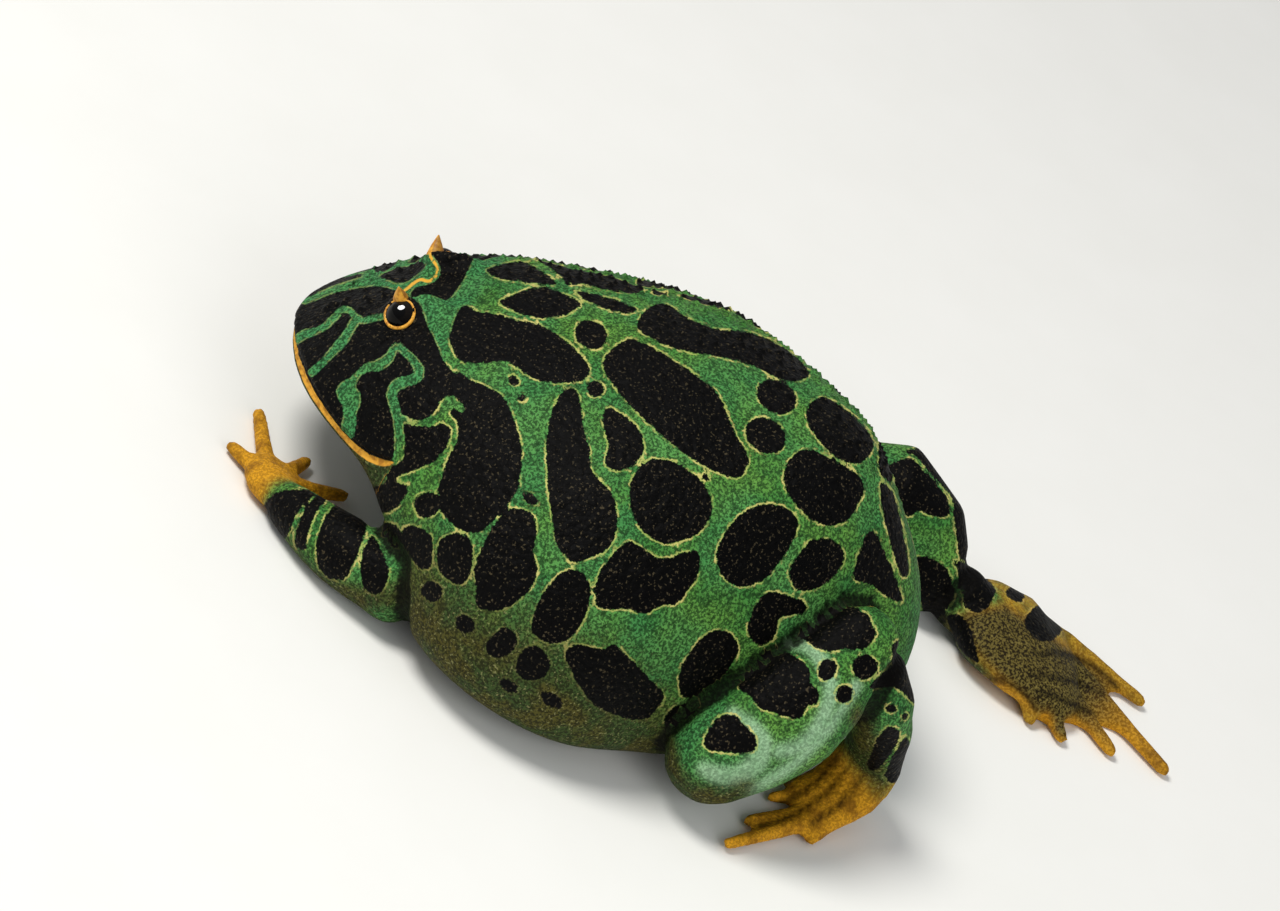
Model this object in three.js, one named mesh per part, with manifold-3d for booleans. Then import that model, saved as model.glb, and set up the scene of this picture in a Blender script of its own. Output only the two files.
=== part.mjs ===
// Argentine horned frog, Ceratophrys ornata: one grown animal at rest, life size.
//
// Millimetres, +Z up. The frog looks along -Y and its left side faces +X. A place is given as
// (behind the tip of the snout, out to the left, above the floor), through at(). The finished
// group is moved so that its origin lies on the floor, under the middle of the whole animal.
//
// The trunk and head are one rounded body, parted at the neck and along the mouth. The near leg,
// on the left, is folded, and the far one is stretched back. Neighbours meet across a thin gap.

import * as THREE from 'three';
import { mergeVertices } from 'three/addons/utils/BufferGeometryUtils.js';
import Module from 'manifold-3d';

const wasm = await Module();
wasm.setup();

// Driving dimensions
const snoutToVent = 125;
const gap = 0.3;
const mouthGap = 0.5;
const bodyRings = 40;
const bodySides = 36;

const skinGreen = { color: 0x3d7a4c, roughness: 0.5, metalness: 0 };
const skinDark = { color: 0x2b4f33, roughness: 0.5, metalness: 0 };
const skinYellow = { color: 0xd7932f, roughness: 0.5, metalness: 0 };
const lidGold = { color: 0xb9892c, roughness: 0.45, metalness: 0 };
const eyeBlack = { color: 0x0d0b09, roughness: 0.08, metalness: 0 };

// Eyes and horns: the left one of each pair, its twin is mirrored
const eyeCentre = [18, 10.9, 36.3];
const eyeAim = new THREE.Vector3(0.7, -0.42, 0.58).normalize();
const eyeRadius = 3.3;
const lidThickness = 0.8;
const lidOpening = 2.95;
const hornTip = [14.8, 11.4, 41.6];
const nostril = [6.2, 4.6];
const nostrilRadius = 0.7;

const left = 1;
const right = -1;

const at = (behind, out, up) => new THREE.Vector3(out, behind, up);

// A smooth curve through [place, value] stations
function profile(...stations) {
  const last = stations.length - 1;
  const slope = (i) => {
    const [from, low] = stations[Math.max(i - 1, 0)];
    const [to, high] = stations[Math.min(i + 1, last)];
    return (high - low) / (to - from);
  };
  return (place) => {
    const after = stations.findIndex(([start]) => start > place);
    const i = THREE.MathUtils.clamp(after < 0 ? last - 1 : after - 1, 0, last - 1);
    const [from, low] = stations[i];
    const [to, high] = stations[i + 1];
    const span = to - from;
    const t = THREE.MathUtils.clamp((place - from) / span, 0, 1);
    const rest = 1 - t;
    return rest * rest * (1 + 2 * t) * low + t * t * (1 + 2 * rest) * high
      + t * rest * span * (rest * slope(i) - t * slope(i + 1));
  };
}

// Solids

function solid(geometry) {
  const mesh = new wasm.Mesh({
    numProp: 3,
    vertProperties: Float32Array.from(geometry.attributes.position.array),
    triVerts: Uint32Array.from(geometry.index.array),
  });
  return new wasm.Manifold(mesh);
}

function closed(geometry) {
  geometry.deleteAttribute('normal');
  geometry.deleteAttribute('uv');
  return mergeVertices(geometry, 1e-4);
}

// A sphere with its poles on the Y axis, every point of it moved by place(x, y, z)
function moulded(sides, rings, place) {
  const geometry = closed(new THREE.SphereGeometry(1, sides, rings));
  const points = geometry.attributes.position;
  for (let i = 0; i < points.count; i += 1) {
    const moved = place(points.getX(i), points.getY(i), points.getZ(i));
    points.setXYZ(i, moved.x, moved.y, moved.z);
  }
  return geometry;
}

// The same form a little larger all round, for cutting its neighbours clear of it
function clear(geometry, distance = gap) {
  const grown = geometry.clone();
  grown.computeVertexNormals();
  const points = grown.attributes.position;
  const normals = grown.attributes.normal;
  for (let i = 0; i < points.count; i += 1) {
    points.setXYZ(
      i,
      points.getX(i) + distance * normals.getX(i),
      points.getY(i) + distance * normals.getY(i),
      points.getZ(i) + distance * normals.getZ(i),
    );
  }
  grown.deleteAttribute('normal');
  return solid(grown);
}

function largest(shape) {
  const parts = shape.decompose();
  return parts.reduce((best, part) => (part.volume() > best.volume() ? part : best));
}

const cutAway = (shape, ...cutters) => largest(
  cutters.reduce((rest, cutter) => rest.subtract(cutter), shape),
);

const ball = (centre, radius, sides = 20) => moulded(sides, Math.round(sides * 0.7),
  (x, y, z) => new THREE.Vector3(x, y, z).multiplyScalar(radius).add(centre));

// A tube of changing section along a smooth path, its round ends centred on the first and the
// last point. Each girth is [half width, half height] at the path's point of the same number.
function limb(path, girths, sides = 14, rings = 10) {
  const firstRadius = Math.min(...girths[0]);
  const lastRadius = Math.min(...girths[girths.length - 1]);
  const beyond = (end, inner, radius) => end.clone()
    .addScaledVector(end.clone().sub(inner).normalize(), radius);
  const curve = new THREE.CatmullRomCurve3([
    beyond(path[0], path[1], firstRadius),
    ...path,
    beyond(path[path.length - 1], path[path.length - 2], lastRadius),
  ]);
  const sections = [girths[0], ...girths, girths[girths.length - 1]];
  const length = curve.getLength();
  const steps = sections.length - 1;
  const wide = profile(...sections.map(([width], i) => [i, width]));
  const tall = profile(...sections.map(([, height], i) => [i, height]));
  const rounding = (distance, radius) => {
    const inside = 1 - Math.min(distance / radius, 1);
    return Math.sqrt(1 - inside * inside);
  };
  return moulded(sides, rings, (x, y, z) => {
    const part = THREE.MathUtils.clamp((1 + y) / 2, 0, 1);
    const t = curve.getUtoTmapping(part);
    const tangent = curve.getTangent(t);
    const side = new THREE.Vector3().crossVectors(tangent, at(0, 0, 1)).normalize();
    const up = new THREE.Vector3().crossVectors(side, tangent);
    const angle = Math.atan2(z, x);
    const open = rounding(part * length, firstRadius) * rounding((1 - part) * length, lastRadius);
    return curve.getPoint(t)
      .addScaledVector(side, Math.cos(angle) * open * wide(t * steps))
      .addScaledVector(up, Math.sin(angle) * open * tall(t * steps));
  });
}

// Head and trunk: the profiles run along the frog from snout to vent. Widths, rises and drops
// are those of an open-ended body, and the rounding of both ends is laid over them.
const halfWidth = profile([0, 38], [10, 43], [20, 41.5], [28, 41.5], [36, 45], [48, 52],
  [60, 55.5], [72, 56], [82, 54], [92, 47.5], [100, 43.5], [110, 38.5], [125, 38]);
const widestHeight = profile([0, 20.5], [6, 21.5], [26, 21.5], [36, 19], [46, 16], [60, 14],
  [104, 14], [125, 19]);
const rise = profile([0, 8], [5, 12], [10, 17.5], [17, 22.6], [22, 24.5], [27, 27.5], [35, 31.2],
  [45, 35.8], [56, 39.6], [66, 42.2], [78, 44.1], [88, 47.5], [97, 51], [110, 49.5], [125, 46]);
const drop = profile([0, 9], [10, 12.5], [20, 15], [34, 16.8], [46, 17.6], [60, 15.5],
  [88, 16.5], [100, 18.5], [110, 17], [125, 15]);
const upperSquareness = profile([0, 2], [20, 2.2], [45, 2], [125, 2]);
const lowerSquareness = profile([0, 1.4], [20, 1.35], [32, 1.6], [50, 3], [100, 3], [125, 2]);
const lipCrowding = profile([0, 0.62], [28, 0.62], [46, 0], [125, 0]);

// The line of the mouth, from the snout back to its corner
const mouthHeight = profile([0, 19.4], [3, 21], [8, 22.6], [14, 22.8], [20, 22.2], [26, 23.1],
  [29, 24.7], [32, 27]);
const lipOut = 0.7;
const lipSpread = 1.3;
const mouthCorner = 28.5;
const lipCentre = 30;

const smooth = (value, low, high) => THREE.MathUtils.smoothstep(value, low, high);

function bodyPoint(x, y, z) {
  const behind = snoutToVent * (1 + y) / 2;
  const closing = Math.hypot(x, z);
  const turn = Math.atan2(z, x);
  const angle = turn - lipCrowding(behind) * Math.sin(2 * turn) / 2;
  const squareness = z >= 0 ? upperSquareness(behind) : lowerSquareness(behind);
  const reach = (value) => Math.sign(value) * Math.abs(value) ** (2 / squareness);
  const depth = z >= 0 ? rise(behind) : drop(behind);
  const point = at(
    behind,
    closing * halfWidth(behind) * reach(Math.cos(angle)),
    widestHeight(behind) + closing * depth * reach(Math.sin(angle)),
  );
  const fromMouth = (point.z - mouthHeight(behind)) / lipSpread;
  const lip = lipOut * Math.exp(-fromMouth * fromMouth) * smooth(behind, 1, 9)
    * (1 - smooth(behind, mouthCorner - 3, mouthCorner + 2));
  const outward = new THREE.Vector3(point.x, point.y - lipCentre, 0).normalize();
  point.addScaledVector(outward, lip);
  return point;
}

const body = moulded(bodySides, bodyRings, bodyPoint);
const bodySolid = solid(body);
const bodyClear = clear(body);

// Cutting blocks: the floor, the neck and the mouth
const blockSize = 400;
const floor = solid(closed(new THREE.BoxGeometry(blockSize, blockSize, blockSize)
  .translate(0, 0, -blockSize / 2)));

const neckLean = THREE.MathUtils.degToRad(10);
const neckBehind = 30.8;
const neckHeight = 23.5;
function neckBlock(side) {
  const block = new THREE.BoxGeometry(blockSize, blockSize, blockSize);
  block.translate(0, side * (blockSize + gap) / 2, 0);
  block.rotateX(neckLean);
  block.translate(0, neckBehind, neckHeight);
  return solid(closed(block));
}

const mouthReach = 60;
function mouthBlock(thickness) {
  const segments = 20;
  const block = closed(new THREE.BoxGeometry(2 * mouthReach, mouthReach, thickness,
    1, segments, 1));
  const points = block.attributes.position;
  for (let i = 0; i < points.count; i += 1) {
    points.setY(i, points.getY(i) + mouthReach / 3);
    points.setZ(i, points.getZ(i) + mouthHeight(Math.max(points.getY(i), 0)));
  }
  return solid(block);
}

// Each part of the frog: its name, finish and solid
const parts = [];
function add(name, finish, shape) {
  parts.push({ name, finish, shape: cutAway(shape, floor) });
}

// Eyes and lids. A lid is a cap round the front of the eyeball, open where the eye looks out,
// drawn up into the horn above it.
const eyeSides = 14;
const sides = [['left', left], ['right', right]];
const eyePlace = (side) => at(eyeCentre[0], side * eyeCentre[1], eyeCentre[2]);
const aim = (side) => new THREE.Vector3(side * eyeAim.x, eyeAim.y, eyeAim.z);

function eyeBlock(side, start, radius) {
  const length = 20;
  const cylinder = new THREE.CylinderGeometry(radius, radius, length, eyeSides);
  cylinder.translate(0, start + length / 2, 0);
  cylinder.applyQuaternion(new THREE.Quaternion().setFromUnitVectors(at(1, 0, 0), aim(side)));
  cylinder.translate(...eyePlace(side));
  return solid(closed(cylinder));
}

const lidRadius = eyeRadius + gap + lidThickness;
const lidStart = -0.2;
const lidBlockRadius = 12;
const sockets = [];
for (const [sideName, side] of sides) {
  const centre = eyePlace(side);
  const eyeball = ball(centre, eyeRadius, eyeSides);
  const eyeRoom = clear(eyeball);
  const horn = limb(
    [
      at(16.6, side * 10, 37.6),
      at(15.5, side * 10.4, 39.5),
      at(hornTip[0], side * hornTip[1], hornTip[2]),
    ],
    [[1.6, 1.5], [1.4, 1.3], [0.3, 0.3]],
    8,
    7,
  );
  const front = eyeBlock(side, lidStart, lidBlockRadius);
  const window = eyeBlock(side, 0, lidOpening);
  const cap = solid(ball(centre, lidRadius, eyeSides)).subtract(window);
  const lid = cap.add(solid(horn)).intersect(front);
  const room = clear(ball(centre, lidRadius, eyeSides)).add(clear(horn))
    .intersect(eyeBlock(side, lidStart - gap, lidBlockRadius));
  add(`eye_${sideName}`, eyeBlack, solid(eyeball));
  add(`eyelid_horn_${sideName}`, lidGold, cutAway(lid, eyeRoom));
  sockets.push(eyeRoom, room);
}

const nostrils = sides.map(([, side]) => {
  const [behind, out] = nostril;
  const close = Math.sqrt(1 - (2 * behind / snoutToVent - 1) ** 2);
  const across = Math.sqrt(1 - (out / (close * halfWidth(behind))) ** 2);
  const up = widestHeight(behind) + close * rise(behind) * across;
  return solid(ball(at(behind, side * out, up), nostrilRadius, 10));
});

// A brow is a soft swelling over each eye, and a low ridge runs between the horns
const brows = sides.map(([, side]) => solid(limb(
  [at(23, side * 9.2, 38.6), at(19.6, side * 9.4, 38.7), at(16.6, side * 8.8, 38.3)],
  [[2.6, 3.4], [2.6, 3.4], [1.9, 3]],
  12,
)));
const ridgePath = [
  at(15.6, 9.6, 39.6),
  at(16.5, 5, 37.3),
  at(17.2, 0, 36.9),
  at(16.5, -5, 37.3),
  at(15.6, -9.6, 39.6),
];
const ridge = solid(limb(ridgePath, ridgePath.map(() => [0.9, 0.9]), 8, 16));

const beforeNeck = bodySolid.intersect(neckBlock(-1)).subtract(mouthBlock(mouthGap));
const [upper, lower] = beforeNeck.decompose()
  .sort((one, other) => other.boundingBox().max[2] - one.boundingBox().max[2]);
const crown = [...brows, ridge].reduce((whole, form) => whole.add(form), upper);
add('head', skinGreen, cutAway(crown, ...sockets, ...nostrils));
add('lower_jaw', skinDark, lower);

// Arms: the left hand is turned in under the chin, the right one points forward
const arms = {
  left: {
    shoulder: at(48, 36.5, 17),
    elbow: at(41.5, 39.5, 8),
    middle: at(30, 37, 6.2),
    wrist: at(18.5, 31, 4.2),
    palm: at(13, 25.5, 2.8),
    tips: [at(26, 14.5, 1.5), at(16.5, 11, 1.5), at(3.6, 6, 1.5), at(2.8, 20.2, 1.5)],
  },
  right: {
    shoulder: at(50, -36, 17),
    elbow: at(44, -43, 7.5),
    middle: at(35, -42, 6.2),
    wrist: at(26, -38, 4.2),
    palm: at(18.5, -34.5, 3),
    tips: [at(22, -21, 1.5), at(11, -21.5, 1.5), at(4.5, -30, 1.5), at(9, -42, 1.5)],
  },
};
const fingerNames = ['first', 'second', 'third', 'fourth'];
const upperArmGirths = [[8.5, 8.5], [7.4, 7.4]];
const forearmGirths = [[7, 7], [6.5, 6.3], [4.6, 4.3]];
const handGirths = [[3.8, 3.4], [5, 3], [3.6, 2.3]];
const fingerGirths = [[2.2, 2.1], [1.6, 1.6], [1.35, 1.35]];
const digitArch = 0.5;

// A finger or toe from inside the palm or sole out to its tip
function digit(root, tip, girths) {
  const tipRadius = girths[girths.length - 1][1];
  const end = tip.clone().addScaledVector(root.clone().sub(tip).setZ(0).normalize(), tipRadius);
  const middle = root.clone().lerp(end, 0.55);
  middle.z = tip.z + digitArch;
  return limb([root, middle, end], girths, 8, 8);
}

const armpits = [];
for (const [sideName, arm] of Object.entries(arms)) {
  const upperArm = limb([arm.shoulder, arm.elbow], upperArmGirths);
  const forearm = limb([arm.elbow, arm.middle, arm.wrist], forearmGirths);
  const heel = arm.wrist.clone().lerp(arm.palm, 0.3);
  const hand = limb([heel, arm.palm, arm.palm.clone().lerp(arm.tips[2], 0.2)], handGirths);
  armpits.push(clear(upperArm));
  add(`upper_arm_${sideName}`, skinGreen, solid(upperArm));
  add(`forearm_${sideName}`, skinGreen, cutAway(solid(forearm), bodyClear, clear(upperArm)));
  add(`hand_${sideName}`, skinYellow, cutAway(solid(hand), clear(forearm)));
  let before = clear(hand);
  arm.tips.forEach((tip, i) => {
    const finger = digit(arm.palm, tip, fingerGirths);
    add(`finger_${fingerNames[i]}_${sideName}`, skinYellow, cutAway(solid(finger), before));
    before = before.add(clear(finger));
  });
}

add('torso', skinGreen, cutAway(bodySolid.intersect(neckBlock(1)), ...armpits));

// Legs
const legs = {
  left: {
    hip: at(106, 14, 22),
    thigh: at(104, 27, 18),
    knee: at(103, 37.5, 12),
    calf: at(109.5, 31, 21.5),
    heel: at(114, 20.5, 34),
    shin: at(123.5, 17.5, 25),
    ankle: at(127.5, 11.5, 12),
    sole: at(127, 15, 6.5),
    ball: at(122.5, 23, 2.8),
    roots: [at(124, 13.5, 3), at(125, 17, 3), at(126, 20, 3), at(126.5, 22, 3), at(128, 20, 3)],
    tips: [at(116.5, 18.5, 1.5), at(115.2, 25, 1.5), at(113.6, 35.5, 1.5), at(112.4, 45, 1.5),
      at(125.3, 30.5, 1.5)],
    shankGirths: [[9.5, 9.5], [10.8, 10.8], [8.2, 8.2]],
    footGirths: [[6.3, 4.5], [6.7, 3.4], [6.3, 2.4]],
    toeGirths: [[2, 1.9], [1.5, 1.5], [1.2, 1.2]],
    webReach: 0.3,
    webHollow: 0.2,
  },
  right: {
    hip: at(106, -14, 22),
    thigh: at(99, -36, 17),
    knee: at(94, -56, 10.5),
    calf: at(110.2, -61.5, 16.2),
    heel: at(123, -58.5, 8.2),
    shin: at(130.5, -59, 6.6),
    ankle: at(136, -58.4, 5.6),
    sole: at(147, -59.6, 4.4),
    ball: at(154, -62.5, 3),
    roots: [at(150.5, -49, 2.5), at(151, -55, 2.5), at(153, -61, 2.5), at(153, -68, 2.5),
      at(151, -73.5, 2.5)],
    tips: [at(153, -42.5, 1.5), at(160, -43, 1.5), at(170, -48.5, 1.5), at(181, -53, 1.5),
      at(172, -70.5, 1.5)],
    shankGirths: [[7.4, 7.4], [10.8, 10.8], [8.2, 8.2]],
    footGirths: [[13.2, 5.4], [16.4, 4.6], [14.6, 3]],
    toeGirths: [[2.4, 2.2], [1.8, 1.7], [1.5, 1.4]],
    webReach: 0.66,
    webHollow: 0.45,
  },
};
const toeNames = ['first', 'second', 'third', 'fourth', 'fifth'];
const thighGirths = [[12, 12], [12, 11.5], [9.5, 9.5]];
const tarsusGirths = [[7.2, 7.2], [6.6, 6.2], [6, 5]];
const webThickness = 1.5;

// The web between the toes: a thin sheet, its edge drawn in between one toe and the next
function web({ roots, tips, webReach, webHollow }) {
  const along = (i, part) => roots[i].clone().lerp(tips[i], part);
  const flat = ({ x, y }) => [x, y];
  const last = tips.length - 1;
  const shape = new THREE.Shape();
  shape.moveTo(...flat(roots[0]));
  shape.lineTo(...flat(along(0, webReach)));
  for (let i = 1; i <= last; i += 1) {
    const notch = along(i - 1, webHollow).lerp(along(i, webHollow), 0.5);
    shape.quadraticCurveTo(...flat(notch), ...flat(along(i, webReach)));
  }
  shape.lineTo(...flat(roots[last]));
  shape.closePath();
  const sheet = new THREE.ExtrudeGeometry(shape,
    { depth: webThickness, bevelEnabled: false, curveSegments: 5 });
  return solid(closed(sheet));
}

for (const [sideName, leg] of Object.entries(legs)) {
  const thigh = limb([leg.hip, leg.thigh, leg.knee], thighGirths);
  const shank = limb([leg.knee, leg.calf, leg.heel], leg.shankGirths);
  const tarsus = limb([leg.heel, leg.shin, leg.ankle], tarsusGirths);
  const foot = limb([leg.ankle, leg.sole, leg.ball], leg.footGirths);
  const toes = leg.tips.map((tip, i) => digit(leg.roots[i], tip, leg.toeGirths));
  const toesClear = toes.map((toe) => clear(toe));
  const webbed = toesClear.reduce((rest, toe) => rest.subtract(toe), web(leg));
  const legClear = bodyClear.add(clear(thigh)).add(clear(shank)).add(clear(tarsus));
  add(`thigh_${sideName}`, skinGreen, cutAway(solid(thigh), bodyClear));
  add(`shank_${sideName}`, skinGreen, cutAway(solid(shank), bodyClear, clear(thigh)));
  add(`tarsus_${sideName}`, skinGreen,
    cutAway(solid(tarsus), bodyClear, clear(thigh), clear(shank)));
  add(`foot_${sideName}`, skinYellow, cutAway(solid(foot).add(webbed), legClear));
  let before = clear(foot).add(legClear);
  toes.forEach((toe, i) => {
    add(`toe_${toeNames[i]}_${sideName}`, skinYellow, cutAway(solid(toe), before));
    before = before.add(toesClear[i]);
  });
}

// The group: one named mesh for each part
const frog = new THREE.Group();
for (const { name, finish, shape } of parts) {
  const { vertProperties, triVerts } = shape.getMesh();
  const geometry = new THREE.BufferGeometry();
  geometry.setAttribute('position', new THREE.BufferAttribute(vertProperties, 3));
  geometry.setIndex(new THREE.BufferAttribute(triVerts, 1));
  geometry.computeVertexNormals();
  const mesh = new THREE.Mesh(geometry, new THREE.MeshStandardMaterial(finish));
  mesh.name = name;
  frog.add(mesh);
}
const box = new THREE.Box3().setFromObject(frog);
frog.position.set(-(box.min.x + box.max.x) / 2, -(box.min.y + box.max.y) / 2, -box.min.z);
frog.updateMatrixWorld(true);

export default frog;
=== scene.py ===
# %% [markdown]
# # Argentine horned frog
# A grown Ceratophrys ornata sits on a plain floor, life size, in metres. The frog looks along -Y
# and its left side faces +X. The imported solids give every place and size. One skin is grown over
# the solids of flesh, so that no joint between them shows, and it carries the markings. Eyeballs
# and horned lids are pieces of their own.

import math

import bpy
import numpy as np
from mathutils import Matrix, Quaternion, Vector, noise
from mathutils.bvhtree import BVHTree
from mathutils.kdtree import KDTree


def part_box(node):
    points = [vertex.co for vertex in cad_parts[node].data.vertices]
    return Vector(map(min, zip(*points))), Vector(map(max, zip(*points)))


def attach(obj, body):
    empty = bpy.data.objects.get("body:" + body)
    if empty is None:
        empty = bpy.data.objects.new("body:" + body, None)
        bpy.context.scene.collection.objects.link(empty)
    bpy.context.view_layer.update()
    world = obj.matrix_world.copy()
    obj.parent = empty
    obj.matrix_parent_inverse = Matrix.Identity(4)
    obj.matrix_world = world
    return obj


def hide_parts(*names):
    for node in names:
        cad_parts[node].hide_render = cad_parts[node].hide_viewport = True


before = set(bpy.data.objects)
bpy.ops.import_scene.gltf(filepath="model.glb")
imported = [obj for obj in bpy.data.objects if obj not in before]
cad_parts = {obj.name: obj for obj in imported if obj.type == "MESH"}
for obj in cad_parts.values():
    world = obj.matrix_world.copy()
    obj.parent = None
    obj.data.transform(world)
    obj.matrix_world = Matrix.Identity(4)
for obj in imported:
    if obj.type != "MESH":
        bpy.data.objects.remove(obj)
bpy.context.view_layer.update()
MM = 0.001

left_eye_box, right_eye_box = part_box("eye_left"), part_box("eye_right")
MIDDLE = (left_eye_box[0].x + left_eye_box[1].x + right_eye_box[0].x + right_eye_box[1].x) / 4
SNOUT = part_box("head")[0].y


def at(behind, out, up):
    """A place in millimetres: behind the tip of the snout, out to the left, above the floor."""
    return Vector((MIDDLE + out * MM, SNOUT + behind * MM, up * MM))


print("snout", round(SNOUT, 4), "middle", round(MIDDLE, 4))

# %% [markdown]
# ## The camera
# The plate shows the frog from its left side and from a little above, and the whole frog slants
# across the sheet, head low. The camera looks at the flank from 31 degrees up, and is then rolled
# round its own view line, so the frog slants in the picture while it sits level on the floor.
# The same view gives a ruler for the markings: a place in the level picture is told by how far it
# lies behind the snout and how high above the picture's floor line, both in millimetres.

# %% Camera
ELEVATION = math.radians(31)
ROLL = math.radians(32)
DISTANCE = 0.9
FRAME_WIDTH = 0.224
AIM_BEHIND, AIM_HIGH = 65.3, 27.0

toward = Vector((math.cos(ELEVATION), 0, math.sin(ELEVATION)))
along = Vector((0, 1, 0))
upward = Vector((-math.sin(ELEVATION), 0, math.cos(ELEVATION)))
target = at(AIM_BEHIND, 0, AIM_HIGH / math.cos(ELEVATION))
viewpoint = target + DISTANCE * toward

camera_data = bpy.data.cameras.new("camera")
camera = bpy.data.objects.new("camera", camera_data)
bpy.context.scene.collection.objects.link(camera)
camera.location = viewpoint
level_view = (-toward).to_track_quat("-Z", "Y")
camera.rotation_euler = (level_view @ Quaternion((0, 0, 1), ROLL)).to_euler()
camera_data.sensor_width = 36
camera_data.lens = camera_data.sensor_width * DISTANCE / FRAME_WIDTH
camera_data.clip_start = 0.05
bpy.context.scene.camera = camera
print("lens", round(camera_data.lens, 1), "mm")

# %% [markdown]
# ## Floor and light
# A pale, plain floor and soft light, as in a studio: one large lamp high in front of the frog gives
# the forms their shade, a wide faint one fills in from behind on the near side, and a pale sky
# does the rest.

# %% Floor and lamps
FLOOR_WIDTH = 6
KEY_WATTS, FILL_WATTS = 8.5, 4
SKY_STRENGTH = 0.36


def deselect_all():
    """Object mode, with nothing selected."""
    if bpy.context.object and bpy.context.object.mode != "OBJECT":
        bpy.ops.object.mode_set(mode="OBJECT")
    bpy.ops.object.select_all(action="DESELECT")


def select_only(*pieces):
    """Only these pieces are selected, and the first of them is active."""
    deselect_all()
    for piece in pieces:
        piece.select_set(True)
    bpy.context.view_layer.objects.active = pieces[0]


def lamp(name, place, look_at, size, watts, colour):
    """A round lamp at a place, turned towards another."""
    data = bpy.data.lights.new(name, "AREA")
    data.shape = "DISK"
    data.size = size
    data.energy = watts
    data.color = colour
    made = bpy.data.objects.new(name, data)
    bpy.context.scene.collection.objects.link(made)
    made.location = place
    made.rotation_euler = (look_at - place).to_track_quat("-Z", "Y").to_euler()
    return made


deselect_all()
bpy.ops.mesh.primitive_plane_add(size=FLOOR_WIDTH, location=(0, 0, 0))
floor = bpy.context.object
floor.name = "floor"

heart = at(60, 0, 20)
lamp("key", heart + Vector((0.15, -0.52, 0.92)), heart, 0.4, KEY_WATTS, (1.0, 0.98, 0.94))
fill = lamp("fill", heart + Vector((0.75, 0.6, 0.5)), heart, 0.8, FILL_WATTS, (0.98, 0.99, 1.0))
fill.visible_glossy = False

world = bpy.data.worlds.new("studio")
bpy.context.scene.world = world
world.use_nodes = True
sky = world.node_tree.nodes["Background"]
sky.inputs["Color"].default_value = (0.95, 0.96, 1.0, 1)
sky.inputs["Strength"].default_value = SKY_STRENGTH
bpy.context.scene.view_settings.view_transform = "Standard"

# %% [markdown]
# ## A small language for finishes
# A finish is a graph of nodes. `Wire` wraps one output of a node, so that sums on it are written
# as plain Python and become Math nodes. `Finish` holds one material and makes any other node
# through one method, `node`.

# %% Wire and Finish


def srgb(code):
    """A colour from its usual six-digit code, in the linear light that shaders use."""
    channels = [int(code[i:i + 2], 16) / 255 for i in (0, 2, 4)]
    return tuple(c / 12.92 if c < 0.04045 else ((c + 0.055) / 1.055) ** 2.4
                 for c in channels) + (1.0,)


def both_ways(operation):
    """An operator and its reflected form."""
    return (lambda self, other: self.maths(operation, self, other),
            lambda self, other: self.maths(operation, other, self))


class Wire:
    """One output of a node, on which Python's operators work."""

    def __init__(self, finish, socket):
        self.finish = finish
        self.socket = socket

    def maths(self, operation, *others, **settings):
        return self.finish.node("Math", dict(enumerate(others)), operation=operation, **settings)

    __add__, __radd__ = both_ways("ADD")
    __sub__, __rsub__ = both_ways("SUBTRACT")
    __mul__, __rmul__ = both_ways("MULTIPLY")

    def __abs__(self):
        return self.maths("ABSOLUTE", self)

    def step(self, low, high):
        """0 below low, 1 above high, and a smooth rise between them."""
        return self.finish.node("MapRange", {"Value": self, "From Min": low, "From Max": high},
                                interpolation_type="SMOOTHSTEP")


class Finish:
    """A material around one Principled shader."""

    def __init__(self, name):
        self.material = bpy.data.materials.new(name)
        self.material.use_nodes = True
        self.tree = self.material.node_tree
        self.shader = self.tree.nodes["Principled BSDF"]

    def plug(self, socket, value):
        if isinstance(value, Wire):
            self.tree.links.new(value.socket, socket)
        else:
            socket.default_value = value

    def node(self, kind, values=None, out=0, **settings):
        """Any node: its settings by name, its inputs from values, and one output as a Wire."""
        made = self.tree.nodes.new("ShaderNode" + kind)
        for name, value in settings.items():
            setattr(made, name, value)
        for name, value in (values or {}).items():
            self.plug(made.inputs[name], value)
        return Wire(self, made.outputs[out])

    def mix(self, factor, one, other):
        """The colour one where the factor is 0, the other where it is 1."""
        return self.node("Mix", {0: factor, 6: one, 7: other}, out=2, data_type="RGBA")

    def place(self):
        return self.node("TexCoord", out="Object")

    def grain(self, scale, detail=3, roughness=0.55):
        """Soft noise from 0 to 1, about 1/scale metres across."""
        return self.node("TexNoise", {"Vector": self.place(), "Scale": scale, "Detail": detail,
                                      "Roughness": roughness}, out="Fac")

    def mark(self, name):
        """A value kept at the points of the mesh under this name."""
        return self.node("Attribute", out="Fac", attribute_name=name)

    def shine(self, **sockets):
        """Sets or links sockets of the shader; a low line in a name stands for a space."""
        for name, value in sockets.items():
            self.plug(self.shader.inputs[name.replace("_", " ")], value)

    def bump(self, height, distance, strength):
        raised = self.node("Bump", {"Height": height, "Distance": distance, "Strength": strength},
                           out="Normal")
        self.plug(self.shader.inputs["Normal"], raised)


paper = Finish("floor_paper")
tone = paper.grain(40)
paper.shine(Base_Color=paper.mix(tone, srgb("f1f1ec"), srgb("f6f6f2")), Roughness=0.9)
floor.data.materials.append(paper.material)
print("finishes", [m.name for m in bpy.data.materials if m.users])

# %% [markdown]
# ## One skin over all the flesh
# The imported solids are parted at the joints. Each is copied, its loose triangles are merged, and
# it is swollen by a hair so that the thin gaps close. The copies are joined and wrapped by a voxel
# remesh, which keeps only the outer surface, and the swelling is then taken back. The eyeballs are
# wrapped too, a little shrunken, so that the skin closes behind the eyes that are made later. The
# facets of the solids are smoothed away, strongly on the trunk and gently on the fingers, which
# would otherwise waste away.

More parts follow.
